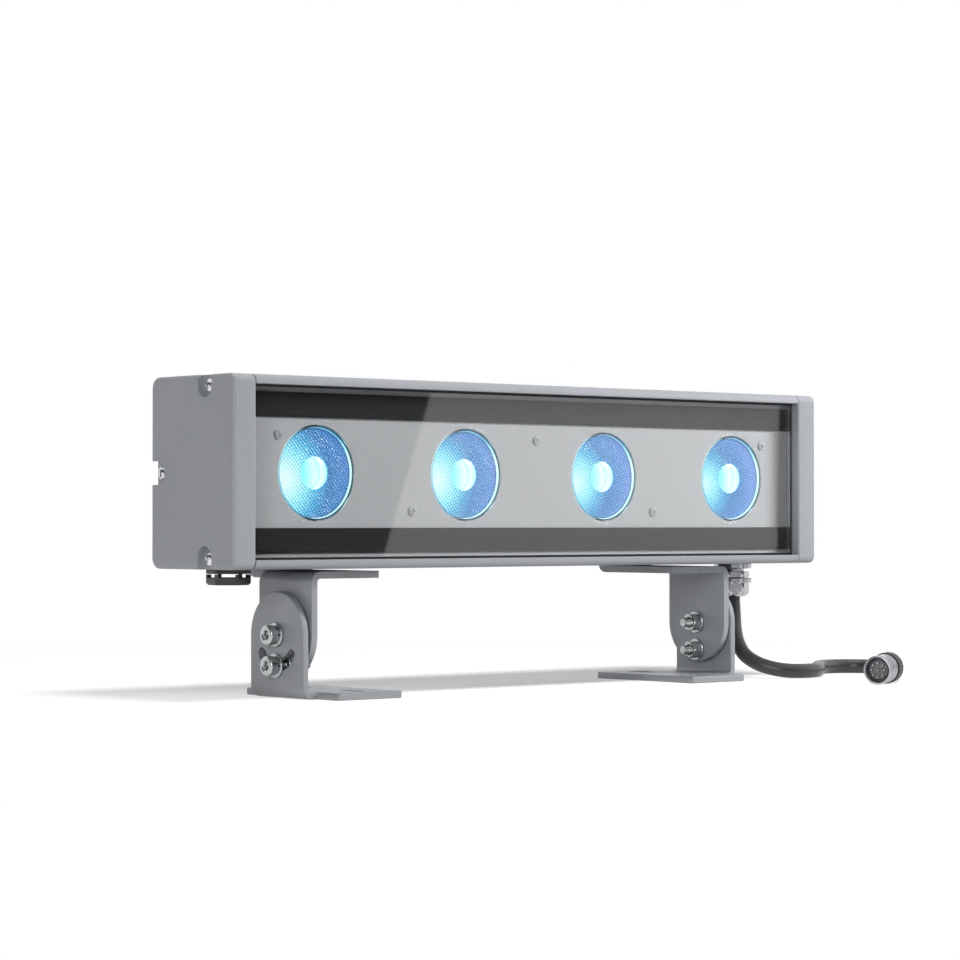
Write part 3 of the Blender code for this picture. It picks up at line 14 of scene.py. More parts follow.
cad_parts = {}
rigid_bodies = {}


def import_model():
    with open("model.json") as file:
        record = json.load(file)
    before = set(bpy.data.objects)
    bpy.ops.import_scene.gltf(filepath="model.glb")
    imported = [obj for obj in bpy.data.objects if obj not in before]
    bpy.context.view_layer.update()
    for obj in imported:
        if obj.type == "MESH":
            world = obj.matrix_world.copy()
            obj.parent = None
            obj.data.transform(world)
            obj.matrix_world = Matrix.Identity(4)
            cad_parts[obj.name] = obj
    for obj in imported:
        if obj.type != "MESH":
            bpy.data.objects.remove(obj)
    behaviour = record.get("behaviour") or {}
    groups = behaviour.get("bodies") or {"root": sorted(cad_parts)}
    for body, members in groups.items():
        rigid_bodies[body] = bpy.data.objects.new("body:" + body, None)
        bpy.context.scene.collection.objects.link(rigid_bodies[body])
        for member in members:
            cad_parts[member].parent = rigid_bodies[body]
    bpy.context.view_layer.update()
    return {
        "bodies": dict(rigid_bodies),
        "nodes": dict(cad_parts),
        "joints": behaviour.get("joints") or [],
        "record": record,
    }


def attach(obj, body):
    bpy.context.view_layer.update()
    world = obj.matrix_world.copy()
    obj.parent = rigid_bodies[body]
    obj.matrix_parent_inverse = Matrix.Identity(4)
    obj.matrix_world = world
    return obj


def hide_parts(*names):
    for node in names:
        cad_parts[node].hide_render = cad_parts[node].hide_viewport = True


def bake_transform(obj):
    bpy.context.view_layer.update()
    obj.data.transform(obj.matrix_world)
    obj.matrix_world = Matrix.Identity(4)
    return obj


MM = 0.001
GAP = 0.3 * MM                  # room that the CAD leaves between solids that touch
SIDES = {"left": -1, "right": 1}

# Sizes and places that scene pieces share with the CAD part
UNDERSIDE = 71.6 * MM
MIDDLE = 124.1 * MM
END = 226 * MM
FOOT_OUTER = 168.6 * MM
BOLT_HEIGHTS = {"pivot": 35 * MM, "clamp": 18 * MM}
CAP_RECESS_DEPTH = 4.5 * MM
CAP_SCREW_SPOTS = {"top": (-11.6, 170.5), "bottom": (-11.6, 77.7), "rear": (31.9, 124.1)}
LENS_COUNT = 4
LENS_PITCH = 107.9 * MM
DISH_RADIUS = 24.8 * MM
EYE_RADIUS = 9.5 * MM
PLATE_FRONT = -25.7 * MM
PLATE_SCREW_COUNT = 5
PLATE_SCREW_PITCH = 94 * MM
PLATE_SCREW_OFFSET = 20.6 * MM
GLAND_X = 190.9 * MM
GLAND_TURN = math.radians(26.6)
CABLE_RADIUS = 4.5 * MM
EDGE_ANGLE = math.radians(50)
CONNECTOR_PLACE = Vector((185.3, -125.1, 8.7)) * MM
CONNECTOR_TURN = math.radians(20.4)
CONNECTOR_RISE = math.radians(2.8)

# Route of the lead in millimetres, the same points as in the CAD part
CABLE_ROUTE = [
    (190.9, 0.0, 50.1),
    (190.7, -1.0, 40.2), (189.4, -3.1, 30.6), (187.6, -7.5, 21.9), (186.8, -14.2, 14.6),
    (188.2, -22.7, 9.7), (192.4, -31.2, 6.6), (198.8, -38.6, 5.0), (207.6, -43.1, 4.6),
    (217.5, -43.3, 4.6), (226.5, -39.1, 4.6), (234.1, -32.7, 4.6), (241.3, -25.7, 4.6),
    (248.8, -19.2, 4.6), (257.6, -14.6, 4.6), (267.5, -14.2, 4.6), (276.5, -18.3, 4.6),
    (282.3, -26.1, 4.6), (283.8, -35.9, 4.6), (280.8, -45.3, 4.6), (274.8, -53.1, 4.6),
    (268.0, -60.5, 4.6), (261.1, -67.7, 4.6), (254.1, -74.8, 4.7), (247.2, -82.0, 5.1),
    (240.4, -89.2, 5.8), (233.7, -96.5, 6.9), (226.8, -103.7, 8.2), (219.3, -110.1, 9.3),
]

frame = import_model()
nodes = frame["nodes"]


# Camera

def make_camera():
    """The photograph's camera, fitted to the corners of the housing, caps and feet."""
    azimuth, elevation = math.radians(-40.951), math.radians(-0.8106)
    back = Vector((
        math.sin(azimuth) * math.cos(elevation), -math.cos(azimuth) * math.cos(elevation),
        math.sin(elevation),
    ))
    camera = bpy.data.objects.new("camera", bpy.data.cameras.new("camera"))
    camera.data.lens = 113.04
    camera.data.sensor_width = 36
    camera.data.clip_start = 0.01
    camera.location = Vector((-1174.7, -1330.7, 96.9)) * MM
    camera.rotation_euler = (-back).to_track_quat("-Z", "Y").to_euler()
    bpy.context.scene.collection.objects.link(camera)
    bpy.context.scene.camera = camera


make_camera()


# Materials

def colour(code):
    """Linear red, green, blue and alpha of an sRGB hex colour."""
    parts = [int(code[start:start + 2], 16) / 255 for start in (1, 3, 5)]
    return tuple(c / 12.92 if c <= 0.04045 else ((c + 0.055) / 1.055) ** 2.4 for c in parts) + (1.0,)


WHITE = colour("#FFFFFF")


def add_node(tree, kind, inputs=None, **settings):
    """Add a node, set its properties, and give each named input a value or a link."""
    node = tree.nodes.new(kind)
    for name, value in settings.items():
        setattr(node, name, value)
    for name, value in (inputs or {}).items():
        socket = node.inputs[name]
        if isinstance(value, bpy.types.NodeSocket):
            tree.links.new(value, socket)
        else:
            socket.default_value = value
    return node


def start_material(name, **shader_values):
    """A material with its shader's plain values set; returns it, its tree, shader and place."""
    made = bpy.data.materials.new(name)
    made.use_nodes = True
    tree = made.node_tree
    shader = tree.nodes["Principled BSDF"]
    for words, value in shader_values.items():
        shader.inputs[words.replace("_", " ").title().replace("Ior", "IOR")].default_value = value
    place = add_node(tree, "ShaderNodeTexCoord").outputs["Object"]
    return made, tree, shader, place


def colour_stops(tree, factor, stops):
    """A colour that the factor reads from two or more (position, code) stops."""
    ramp = add_node(tree, "ShaderNodeValToRGB", {"Fac": factor})
    elements = ramp.color_ramp.elements
    elements[0].position, elements[0].color = stops[0][0], colour(stops[0][1])
    elements[1].position, elements[1].color = stops[-1][0], colour(stops[-1][1])
    for position, code in stops[1:-1]:
        elements.new(position).color = colour(code)
    return ramp.outputs["Color"]


def add_relief(tree, shader, height, strength, depth_mm):
    """Shade a material as if a relief of that depth were on it."""
    bump = add_node(tree, "ShaderNodeBump",
                    {"Height": height, "Strength": strength, "Distance": depth_mm * MM})
    tree.links.new(bump.outputs["Normal"], shader.inputs["Normal"])


def powder_coat(name, low, high, grain_mm):
    """Silver-grey polyester powder, sprayed and baked: a satin skin with a fine orange peel and
    small metal flakes. The peel of about a millimetre breaks up reflections without hiding them."""
    made, tree, shader, place = start_material(name, metallic=0.2)
    flakes = add_node(tree, "ShaderNodeTexVoronoi", {"Vector": place, "Scale": 1 / (0.5 * MM)})
    drift = add_node(tree, "ShaderNodeTexNoise", {"Vector": place, "Scale": 1 / (60 * MM), "Detail": 2.0})
    mixed = add_node(tree, "ShaderNodeMath", {0: flakes.outputs["Color"], 1: drift.outputs["Fac"]},
                     operation="ADD")
    halved = add_node(tree, "ShaderNodeMath", {0: mixed.outputs[0], 1: 0.5}, operation="MULTIPLY")
    tree.links.new(colour_stops(tree, halved.outputs[0], [(0.15, low), (0.85, high)]),
                   shader.inputs["Base Color"])
    peel = add_node(tree, "ShaderNodeTexNoise",
                    {"Vector": place, "Scale": 1 / (grain_mm * MM), "Detail": 3.0, "Roughness": 0.6})
    rough = add_node(tree, "ShaderNodeMapRange",
                     {"Value": peel.outputs["Fac"], "To Min": 0.38, "To Max": 0.5})
    tree.links.new(rough.outputs["Result"], shader.inputs["Roughness"])
    add_relief(tree, shader, peel.outputs["Fac"], 0.35, 0.05)
    return made


def matt_plate_paint():
    """Flat wet-sprayed paint on the lens plate: even and matt, with a trace of brushed grain."""
    made, tree, shader, place = start_material("matt_plate_paint", roughness=0.5, specular_ior_level=0.25)
    stretch = add_node(tree, "ShaderNodeMapping", {"Vector": place, "Scale": (60, 600, 1400)})
    grain = add_node(tree, "ShaderNodeTexNoise", {"Vector": stretch.outputs["Vector"], "Scale": 1.0})
    tree.links.new(colour_stops(tree, grain.outputs["Fac"], [(0.0, "#ADAFB1"), (1.0, "#B5B8BA")]),
                   shader.inputs["Base Color"])
    add_relief(tree, shader, grain.outputs["Fac"], 0.2, 0.02)
    return made


def clear_solid(name, ior, wave_mm, wave_depth_mm, roughness=0.0):
    """See-through glass or acrylic. Lamp light passes it whole, so that what lies behind is lit."""
    made, tree, shader, place = start_material(name, roughness=roughness, ior=ior)
    shader.inputs["Base Color"].default_value = WHITE
    shader.inputs["Transmission Weight"].default_value = 1.0
    waves = add_node(tree, "ShaderNodeTexNoise",
                     {"Vector": place, "Scale": 1 / (wave_mm * MM), "Detail": 1.0})
    add_relief(tree, shader, waves.outputs["Fac"], 0.05, wave_depth_mm)
    path = add_node(tree, "ShaderNodeLightPath")
    passes = add_node(tree, "ShaderNodeMath",
                      {0: path.outputs["Is Shadow Ray"], 1: path.outputs["Is Diffuse Ray"]},
                      operation="MAXIMUM")
    clear = add_node(tree, "ShaderNodeBsdfTransparent", {"Color": WHITE})
    mix = add_node(tree, "ShaderNodeMixShader",
                   {0: passes.outputs[0], 1: shader.outputs["BSDF"], 2: clear.outputs["BSDF"]})
    tree.links.new(mix.outputs[0], tree.nodes["Material Output"].inputs["Surface"])
    return made


def fired_black_print():
    """Ceramic ink, screen printed and fired on: deep black with a faint stipple."""
    made, tree, shader, place = start_material("fired_black_print", roughness=0.4, specular_ior_level=0.12)
    stipple = add_node(tree, "ShaderNodeTexNoise", {"Vector": place, "Scale": 1 / (0.8 * MM)})
    tree.links.new(colour_stops(tree, stipple.outputs["Fac"], [(0.0, "#1A1B1C"), (1.0, "#232425")]),
                   shader.inputs["Base Color"])
    return made


def rubber(name, low, high, grain_mm, roughness):
    """Extruded or moulded rubber: dull, with a fine grain from the die."""
    made, tree, shader, place = start_material(name, roughness=roughness)
    grain = add_node(tree, "ShaderNodeTexNoise",
                     {"Vector": place, "Scale": 1 / (grain_mm * MM), "Detail": 4.0})
    tree.links.new(colour_stops(tree, grain.outputs["Fac"], [(0.3, low), (0.7, high)]),
                   shader.inputs["Base Color"])
    add_relief(tree, shader, grain.outputs["Fac"], 0.4, 0.03)
    return made


def black_polyamide():
    """Injection-moulded, glass-filled polyamide: black with a spark-eroded grain."""
    made, tree, shader, place = start_material("black_polyamide", roughness=0.42)
    grain = add_node(tree, "ShaderNodeTexNoise",
                     {"Vector": place, "Scale": 1 / (0.35 * MM), "Detail": 2.0})
    tree.links.new(colour_stops(tree, grain.outputs["Fac"], [(0.3, "#242526"), (0.7, "#313234")]),
                   shader.inputs["Base Color"])
    add_relief(tree, shader, grain.outputs["Fac"], 0.5, 0.03)
    return made


def turned_metal(name, low, high, roughness, mark_mm):
    """Turned or rolled and plated metal: bright, with fine tool marks and small shade changes."""
    made, tree, shader, place = start_material(name, metallic=1.0, roughness=roughness)
    cloud = add_node(tree, "ShaderNodeTexNoise", {"Vector": place, "Scale": 1 / (4 * MM), "Detail": 3.0})
    tree.links.new(colour_stops(tree, cloud.outputs["Fac"], [(0.3, low), (0.7, high)]),
                   shader.inputs["Base Color"])
    marks = add_node(tree, "ShaderNodeTexNoise",
                     {"Vector": place, "Scale": 1 / (mark_mm * MM), "Detail": 3.0})
    add_relief(tree, shader, marks.outputs["Fac"], 0.22, 0.03)
    return made


def bare_aluminium():
    """Mill-finish extrusion: grey, with draw lines along its length."""
    made, tree, shader, place = start_material("bare_aluminium", metallic=1.0, roughness=0.35)
    stretch = add_node(tree, "ShaderNodeMapping", {"Vector": place, "Scale": (10, 2500, 2500)})
    lines = add_node(tree, "ShaderNodeTexNoise", {"Vector": stretch.outputs["Vector"], "Scale": 1.0})
    tree.links.new(colour_stops(tree, lines.outputs["Fac"], [(0.0, "#C6C7C9"), (1.0, "#D6D7D9")]),
                   shader.inputs["Base Color"])
    add_relief(tree, shader, lines.outputs["Fac"], 0.3, 0.02)
    return made


def circuit_board():
    """Fibreglass laminate under white solder mask, with the faint ridges of its tracks."""
    made, tree, shader, place = start_material("white_solder_mask", roughness=0.35)
    tracks = add_node(tree, "ShaderNodeTexVoronoi", {"Vector": place, "Scale": 1 / (6 * MM)},
                      distance="MANHATTAN")
    tree.links.new(colour_stops(tree, tracks.outputs["Distance"], [(0.35, "#D9DAD4"), (0.4, "#E6E6E1")]),
                   shader.inputs["Base Color"])
    add_relief(tree, shader, tracks.outputs["Distance"], 0.3, 0.05)
    return made


def lens_places(tree, place):
    """Places measured from the axis of the nearest lens: sideways alone, and sideways with upwards."""
    parts = add_node(tree, "ShaderNodeSeparateXYZ", {"Vector": place})
    wrapped = add_node(tree, "ShaderNodeMath", {0: parts.outputs["X"], 1: LENS_PITCH, 2: 0.0},
                       operation="WRAP")
    side = add_node(tree, "ShaderNodeMath", {0: wrapped.outputs[0], 1: LENS_PITCH / 2},
                    operation="SUBTRACT")
    rise = add_node(tree, "ShaderNodeMath", {0: parts.outputs["Z"], 1: MIDDLE}, operation="SUBTRACT")
    flat = add_node(tree, "ShaderNodeCombineXYZ", {"X": side.outputs[0], "Y": rise.outputs[0]})
    return side.outputs[0], flat.outputs["Vector"]


def honeycomb_acrylic():
    """Injection-moulded acrylic with a honeycomb of small lenses pressed into its face, in rows
    1.7 mm apart. Its light is painted on as emission, in place of the LED's light through it:
    each small lens shows a painted light spot in painted darker shade, pale cyan at the left to blue."""
    made, tree, shader, place = start_material("honeycomb_acrylic", roughness=0.2, ior=1.49)
    _, flat = lens_places(tree, place)
    height = 0.0
    wander = add_node(tree, "ShaderNodeTexNoise", {"Vector": flat, "Scale": 1 / (2.2 * MM), "Detail": 1.0})
    drift = add_node(tree, "ShaderNodeVectorMath", {0: wander.outputs["Color"], "Scale": 0.9 * MM},
                     operation="SCALE")
    cells = add_node(tree, "ShaderNodeVectorMath", {0: flat, 1: drift.outputs["Vector"]}, operation="ADD")
    row_spacing = 1.7 * MM
    waves = 2 * math.pi / row_spacing
    for turn, share in ((43, 0.56), (103, 0.24), (163, 0.2)):
        angle = math.radians(turn)
        across = add_node(tree, "ShaderNodeVectorMath", {
            0: cells.outputs["Vector"], 1: (waves * math.cos(angle), waves * math.sin(angle), 0)},
            operation="DOT_PRODUCT")
        wave = add_node(tree, "ShaderNodeMath", {0: across.outputs["Value"]}, operation="COSINE")
        height = add_node(tree, "ShaderNodeMath", {0: wave.outputs[0], 1: share, 2: height},
                          operation="MULTIPLY_ADD").outputs[0]
    # Painted light: the bright spot starts left of the eye, and reaches less far in the lenses further
    # right
    from_spot = add_node(tree, "ShaderNodeVectorMath", {0: flat, 1: (-20 * MM, -3.5 * MM, 0)},
                         operation="DISTANCE")
    parts = add_node(tree, "ShaderNodeSeparateXYZ", {"Vector": place})
    later = add_node(tree, "ShaderNodeMath", {0: parts.outputs["X"], 1: 0.45, 2: 0.055},
                     operation="MULTIPLY_ADD")
    away = add_node(tree, "ShaderNodeMath", {
        0: from_spot.outputs["Value"], 1: 0.5 / DISH_RADIUS, 2: later.outputs[0]},
        operation="MULTIPLY_ADD").outputs[0]
    painted_glow = colour_stops(tree, away, [
        (0.0, "#E0FFFF"), (0.14, "#BCF4F6"), (0.3, "#82DCEC"), (0.46, "#42A0CC"), (0.6, "#286EAA"),
        (0.78, "#3C76B6"), (0.95, "#6484CC")])
    # Painted highlight and shade in each small lens, stronger further from the bright spot
    painted_spot_contrast = add_node(tree, "ShaderNodeMapRange", {
        "Value": away, "From Min": 0.1, "From Max": 0.5, "To Min": 0.3, "To Max": 0.95})
    painted_light_gain = add_node(tree, "ShaderNodeMath", {0: height, 1: painted_spot_contrast.outputs["Result"], 2: 1.0},
                    operation="MULTIPLY_ADD")
    # Painted shade: the last millimetre before the dish's wall is darker, but not beside the spot
    reach = add_node(tree, "ShaderNodeVectorMath", {0: flat}, operation="LENGTH")
    painted_rim_shade = add_node(tree, "ShaderNodeMapRange", {
        "Value": away, "From Min": 0.25, "From Max": 0.6, "To Min": 1.0, "To Max": 0.35})
    edge = add_node(tree, "ShaderNodeMapRange", {
        "Value": reach.outputs["Value"], "From Min": DISH_RADIUS - 1.1 * MM,
        "From Max": DISH_RADIUS - 0.3 * MM, "To Min": 1.0, "To Max": painted_rim_shade.outputs["Result"]})
    shade = add_node(tree, "ShaderNodeMath", {0: painted_light_gain.outputs[0], 1: edge.outputs["Result"]},
                     operation="MULTIPLY")
    # All of this is painted light, given off as emission
    lit = add_node(tree, "ShaderNodeVectorMath", {0: painted_glow, "Scale": shade.outputs[0]}, operation="SCALE")
    tree.links.new(lit.outputs["Vector"], shader.inputs["Emission Color"])
    shader.inputs["Emission Strength"].default_value = 1.0
    shader.inputs["Base Color"].default_value = colour("#24506A")
    add_relief(tree, shader, height, 0.5, 0.3)
    return made


def clear_lit_acrylic():
    """The polished middle of the same lens, which the LED fills with light. That light is painted on as
    emission: near-white, mint at the left, with a painted image of the LED's edge as a thin arc."""
    made, tree, shader, place = start_material("clear_lit_acrylic", roughness=0.04, ior=1.49)
    side, flat = lens_places(tree, place)
    from_spot = add_node(tree, "ShaderNodeVectorMath", {0: flat, 1: (-6 * MM, 0, 0)},
                         operation="DISTANCE")
    out = add_node(tree, "ShaderNodeMath", {0: from_spot.outputs["Value"], 1: 0.6 / EYE_RADIUS},
                   operation="MULTIPLY").outputs[0]
    # Painted image of the LED's edge: a thin darker mint arc in the painted light
    rings = colour_stops(tree, out, [
        (0.0, "#CEFCF4"), (0.48, "#D6FFFA"), (0.56, "#A8F2E0"), (0.64, "#DCFFFF"), (0.8, "#CCFCFF"),
        (0.94, "#7CECF6")])
    # Painted mint colour on the left side of the painted light
    across = add_node(tree, "ShaderNodeMath", {0: side, 1: 0.5 / EYE_RADIUS, 2: 0.5},
                      operation="MULTIPLY_ADD")
    painted_mint_tint = colour_stops(tree, across.outputs[0], [(0.12, "#A0FCE8"), (0.42, "#FFFFFF")])
    tinted = add_node(tree, "ShaderNodeVectorMath", {0: rings, 1: painted_mint_tint}, operation="MULTIPLY")
    # Faint painted stripes of lighter and darker light across it
    stretch = add_node(tree, "ShaderNodeMapping", {"Vector": flat, "Scale": (420, 60, 1)})
    painted_streaks = add_node(tree, "ShaderNodeTexNoise",
                       {"Vector": stretch.outputs["Vector"], "Scale": 1.0, "Detail": 1.0})
    painted_light_gain = add_node(tree, "ShaderNodeMapRange",
                    {"Value": painted_streaks.outputs["Fac"], "From Min": 0.3, "From Max": 0.7,
                     "To Min": 0.9, "To Max": 1.1})
    lit = add_node(tree, "ShaderNodeVectorMath",
                   {0: tinted.outputs["Vector"], "Scale": painted_light_gain.outputs["Result"]}, operation="SCALE")
    tree.links.new(lit.outputs["Vector"], shader.inputs["Emission Color"])
    shader.inputs["Emission Strength"].default_value = 1.05
    shader.inputs["Base Color"].default_value = colour("#5C9CA2")
    return made


def edge_lit_acrylic():
    """The step between the lens's face and its clear flange, where the light inside leaks out.
    That light is painted on as emission, palest at the right and the bottom as a painted highlight.
    """
    made, tree, shader, place = start_material("edge_lit_acrylic", roughness=0.2, ior=1.49)
    _, flat = lens_places(tree, place)
    painted_highlight_way = (0.4 / DISH_RADIUS, -0.3 / DISH_RADIUS, 0)
    along = add_node(tree, "ShaderNodeVectorMath", {0: flat, 1: painted_highlight_way}, operation="DOT_PRODUCT")
    shifted = add_node(tree, "ShaderNodeMath", {0: along.outputs["Value"], 1: 0.5}, operation="ADD")
    # Painted light: palest at the right and the bottom, darker blue towards the top
    tree.links.new(colour_stops(tree, shifted.outputs[0], [
        (0.0, "#C4F2F8"), (0.2, "#7CC4E4"), (0.52, "#5FA6D2"), (0.66, "#A9E8FA"),
        (0.8, "#E4FFFF"), (1.0, "#CFFAFF")]),
        shader.inputs["Emission Color"])
    shader.inputs["Emission Strength"].default_value = 1.0
    shader.inputs["Base Color"].default_value = colour("#5C9CA2")
    return made


def lit_phosphor():
    """Silicone dome over a phosphor: the light source itself, pale cyan."""
    made, tree, shader, place = start_material("lit_phosphor", roughness=0.2)
    cloud = add_node(tree, "ShaderNodeTexNoise", {"Vector": place, "Scale": 1 / (2 * MM)})
    tree.links.new(colour_stops(tree, cloud.outputs["Fac"], [(0.0, "#BFFFFA"), (1.0, "#E2FFFD")]),
                   shader.inputs["Emission Color"])
    shader.inputs["Emission Strength"].default_value = 1.5
    return made


COAT = powder_coat("powder_coated_aluminium", "#A6A9AE", "#B1B4B9", grain_mm=1.1)
STEEL_COAT = powder_coat("powder_coated_steel", "#A1A4A8", "#ACAFB3", grain_mm=0.9)
PLATE_PAINT = matt_plate_paint()
GLASS = clear_solid("toughened_glass", ior=1.5, wave_mm=90, wave_depth_mm=0.02)
# The flange is a thin ring. A low index keeps a dark line off its edge.
CLEAR_FLANGE = clear_solid("moulded_clear_acrylic", ior=1.2, wave_mm=5, wave_depth_mm=0.02, roughness=0.05)
PRINT = fired_black_print()
SEAL_RUBBER = rubber("sealing_rubber", "#1B1B1C", "#242425", grain_mm=0.5, roughness=0.7)
JACKET = rubber("cable_jacket_rubber", "#3A3B3C", "#48494B", grain_mm=0.7, roughness=0.34)
PIN_FACE = rubber("grey_moulded_insert", "#77797B", "#838587", grain_mm=0.5, roughness=0.5)
POLYAMIDE = black_polyamide()
STAINLESS = turned_metal("stainless_steel", "#C9CACC", "#DCDDDE", roughness=0.14, mark_mm=0.3)
ZINC = turned_metal("zinc_plated_steel", "#B2B5B5", "#C6C9C9", roughness=0.24, mark_mm=0.3)
NICKEL = turned_metal("nickel_plated_brass", "#ABADB0", "#BDBFC2", roughness=0.16, mark_mm=0.4)
SATIN_NICKEL = turned_metal("satin_nickel_plated_zinc", "#A9ABAE", "#B9BBBE", roughness=0.34, mark_mm=0.8)
ALUMINIUM = bare_aluminium()
BOARD = circuit_board()
HONEYCOMB = honeycomb_acrylic()
LIT_EYE = clear_lit_acrylic()
LIT_EDGE = edge_lit_acrylic()
PHOSPHOR = lit_phosphor()


# Shapes

def facing(axis, origin):
    """A frame at a place, its Z axis along the given direction."""
    turn = Vector(axis).to_track_quat("Z", "Y").to_matrix().to_4x4()
    return Matrix.Translation(origin) @ turn


def hexagon(flat):
    """Trim a round row to a hexagon of that half width across flats."""
    def reach(radius, angle):
        return min(radius, flat / math.cos((angle % (math.pi / 3)) - math.pi / 6))
    return reach


def ribs(count, depth):
    """Wave a round row in and out, as knurling or scallops do."""
    def reach(radius, angle):
        return radius - depth * (0.5 - 0.5 * math.cos(count * angle))
    return reach


def add_rows(bm, rows, closed=False):
    """Skin rows of points that all have the same count, or one point at an end."""
    made = [[bm.verts.new(point) for point in row] for row in rows]
    pairs = list(zip(made, made[1:]))
    if closed:
        pairs.append((made[-1], made[0]))
    for near, far in pairs:
        count = max(len(near), len(far))
        for step in range(count):
            following = (step + 1) % count
            corners = [near[step % len(near)], near[following % len(near)]]
            corners += [far[following % len(far)], far[step % len(far)]]
            bm.faces.new(list(dict.fromkeys(corners)))


def around(reach, angle, height):
    """A place by its reach and angle round the Z axis and its height, in millimetres."""
    return Vector((reach * math.cos(angle), reach * math.sin(angle), height)) * MM


def add_turned(bm, profile, frame, segments=48, closed=False):
    """Turn (radius, height) rows, in millimetres, round the frame's Z axis.

    A third value shapes a row, as hexagon() and ribs() do.
    """
    rows = []
    for radius, height, *shape in profile:
        if radius == 0:
            rows.append([frame @ Vector((0, 0, height * MM))])
            continue
        row = []
        for step in range(segments):
            angle = 2 * math.pi * step / segments
            reach = shape[0](radius, angle) if shape else radius
            row.append(frame @ around(reach, angle, height))
        rows.append(row)
    add_rows(bm, rows, closed)


def add_thread(bm, frame, radius, low, high, pitch, segments=24):
    """A helical thread between two heights, in millimetres, with a flat at each end."""
    rows_per_turn = 5
    count = round((high - low) / pitch * rows_per_turn)
    rows = [[frame @ Vector((0, 0, low * MM))]]
    for index in range(count + 1):
        height = low + (high - low) * index / count
        fade = min(1, 4 * index / count, 4 * (count - index) / count)
        row = []
        for step in range(segments):
            angle = 2 * math.pi * step / segments
            phase = (height / pitch - step / segments) % 1
            reach = radius - 0.6 * pitch * (1 - fade * (1 - abs(2 * phase - 1)))
            row.append(frame @ around(reach, angle, height))
        rows.append(row)
    rows.append([frame @ Vector((0, 0, high * MM))])
    add_rows(bm, rows)


def press_cross(bm, frame, span, width, depth, above):
    """Push the points of a screw's head down into a cross recess."""
    back = frame.inverted()
    for vert in bm.verts:
        place = back @ vert.co / MM
        x, y = abs(place.x), abs(place.y)
        if place.z < above or max(x, y) > span / 2 or min(x, y) > width / 2:
            continue
        taper = 1 - (max(x, y) / (span / 2)) ** 3
        place.z -= depth * (0.35 + 0.65 * taper)
        vert.co = frame @ (place * MM)


def place_piece(name, bm, surface, body, slot, *replaced, angle=38):
    """Make an object of the mesh that rides on a body and stands for the CAD nodes named."""
    bmesh.ops.recalc_face_normals(bm, faces=bm.faces)
    mesh = bpy.data.meshes.new(name)
    bm.to_mesh(mesh)
    bm.free()
    mesh.materials.append(surface)
    mesh.shade_smooth()
    mesh.set_sharp_from_angle(angle=math.radians(angle))
    piece = bpy.data.objects.new(name, mesh)
    bpy.context.scene.collection.objects.link(piece)
    if body:
        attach(piece, body)
    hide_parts(*replaced)
    return piece


def make_smoothing():
    """Geometry nodes that shade smooth across edges flatter than an angle, sharp across others."""
    group = bpy.data.node_groups.new("smooth_below_angle", "GeometryNodeTree")
    group.interface.new_socket("Geometry", in_out="INPUT", socket_type="NodeSocketGeometry")
    group.interface.new_socket("Geometry", in_out="OUTPUT", socket_type="NodeSocketGeometry")
    start = add_node(group, "NodeGroupInput")
    turn = add_node(group, "GeometryNodeInputMeshEdgeAngle")
    gentle = add_node(group, "FunctionNodeCompare",
                      {0: turn.outputs["Unsigned Angle"], 1: EDGE_ANGLE}, operation="LESS_THAN")
    faces = add_node(group, "GeometryNodeSetShadeSmooth",
                     {"Geometry": start.outputs[0], "Shade Smooth": True}, domain="FACE")
    edges = add_node(group, "GeometryNodeSetShadeSmooth",
                     {"Geometry": faces.outputs[0], "Shade Smooth": gentle.outputs[0]}, domain="EDGE")
    add_node(group, "NodeGroupOutput", {0: edges.outputs[0]})
    return group


SMOOTHING = make_smoothing()


def dress(surface, *names, rounding=0.0):
    """Give CAD nodes a material and smooth their shading. A rounding, in millimetres, breaks edges."""
    for name in names:
        node = nodes[name]
        mesh = node.data
        mesh.materials.clear()
        mesh.materials.append(surface)
        if "custom_normal" in mesh.attributes:
            mesh.attributes.remove(mesh.attributes["custom_normal"])
        weld = node.modifiers.new("weld", "WELD")
        weld.merge_threshold = 0.002 * MM
        if rounding:
            bevel = node.modifiers.new("edges", "BEVEL")
            bevel.width = rounding * MM
            bevel.segments = 2
            bevel.limit_method = "ANGLE"
            bevel.angle_limit = EDGE_ANGLE
            bevel.miter_outer = "MITER_ARC"
        shading = node.modifiers.new("shading", "NODES")
        shading.node_group = SMOOTHING
        weighted = node.modifiers.new("weighted", "WEIGHTED_NORMAL")
        weighted.keep_sharp = True


# The lead comes first, because it settles how far the part reaches

def smooth_path(points, steps):
    """Evenly many points along a smooth curve through all the given ones."""
    points = [Vector(point) for point in points]
    ends = [2 * points[0] - points[1]] + points + [2 * points[-1] - points[-2]]
    path = []
    for step in range(steps + 1):
        place = (len(points) - 1) * step / steps
        index = min(int(place), len(points) - 2)
        t = place - index
        a, b, c, d = ends[index:index + 4]
        path.append(0.5 * (2 * b + (c - a) * t + (2 * a - 5 * b + 4 * c - d) * t * t
                           + (3 * b - a - 3 * c + d) * t * t * t))
    return path


def add_tube(bm, path, radius, segments=24):
    """A round tube along a path, its rings turned no more than the path turns."""
    rows = [[path[0]]]
    side = Vector((0, 1, 0))
    for index, point in enumerate(path):
        ahead = (path[min(index + 1, len(path) - 1)] - path[max(index - 1, 0)]).normalized()
        side = (side - ahead * side.dot(ahead)).normalized()
        over = ahead.cross(side)
        row = []
        for step in range(segments):
            angle = 2 * math.pi * step / segments
            row.append(point + (side * math.cos(angle) + over * math.sin(angle)) * radius)
        rows.append(row)
    rows.append([path[-1]])
    add_rows(bm, rows)


def connector_frame():
    """The connector's own frame: zero is its open end, and Z runs along it to the lead."""
    turn, rise = CONNECTOR_TURN, CONNECTOR_RISE
    axis = (math.cos(turn) * math.cos(rise), math.sin(turn) * math.cos(rise), math.sin(rise))
    return facing(axis, CONNECTOR_PLACE)


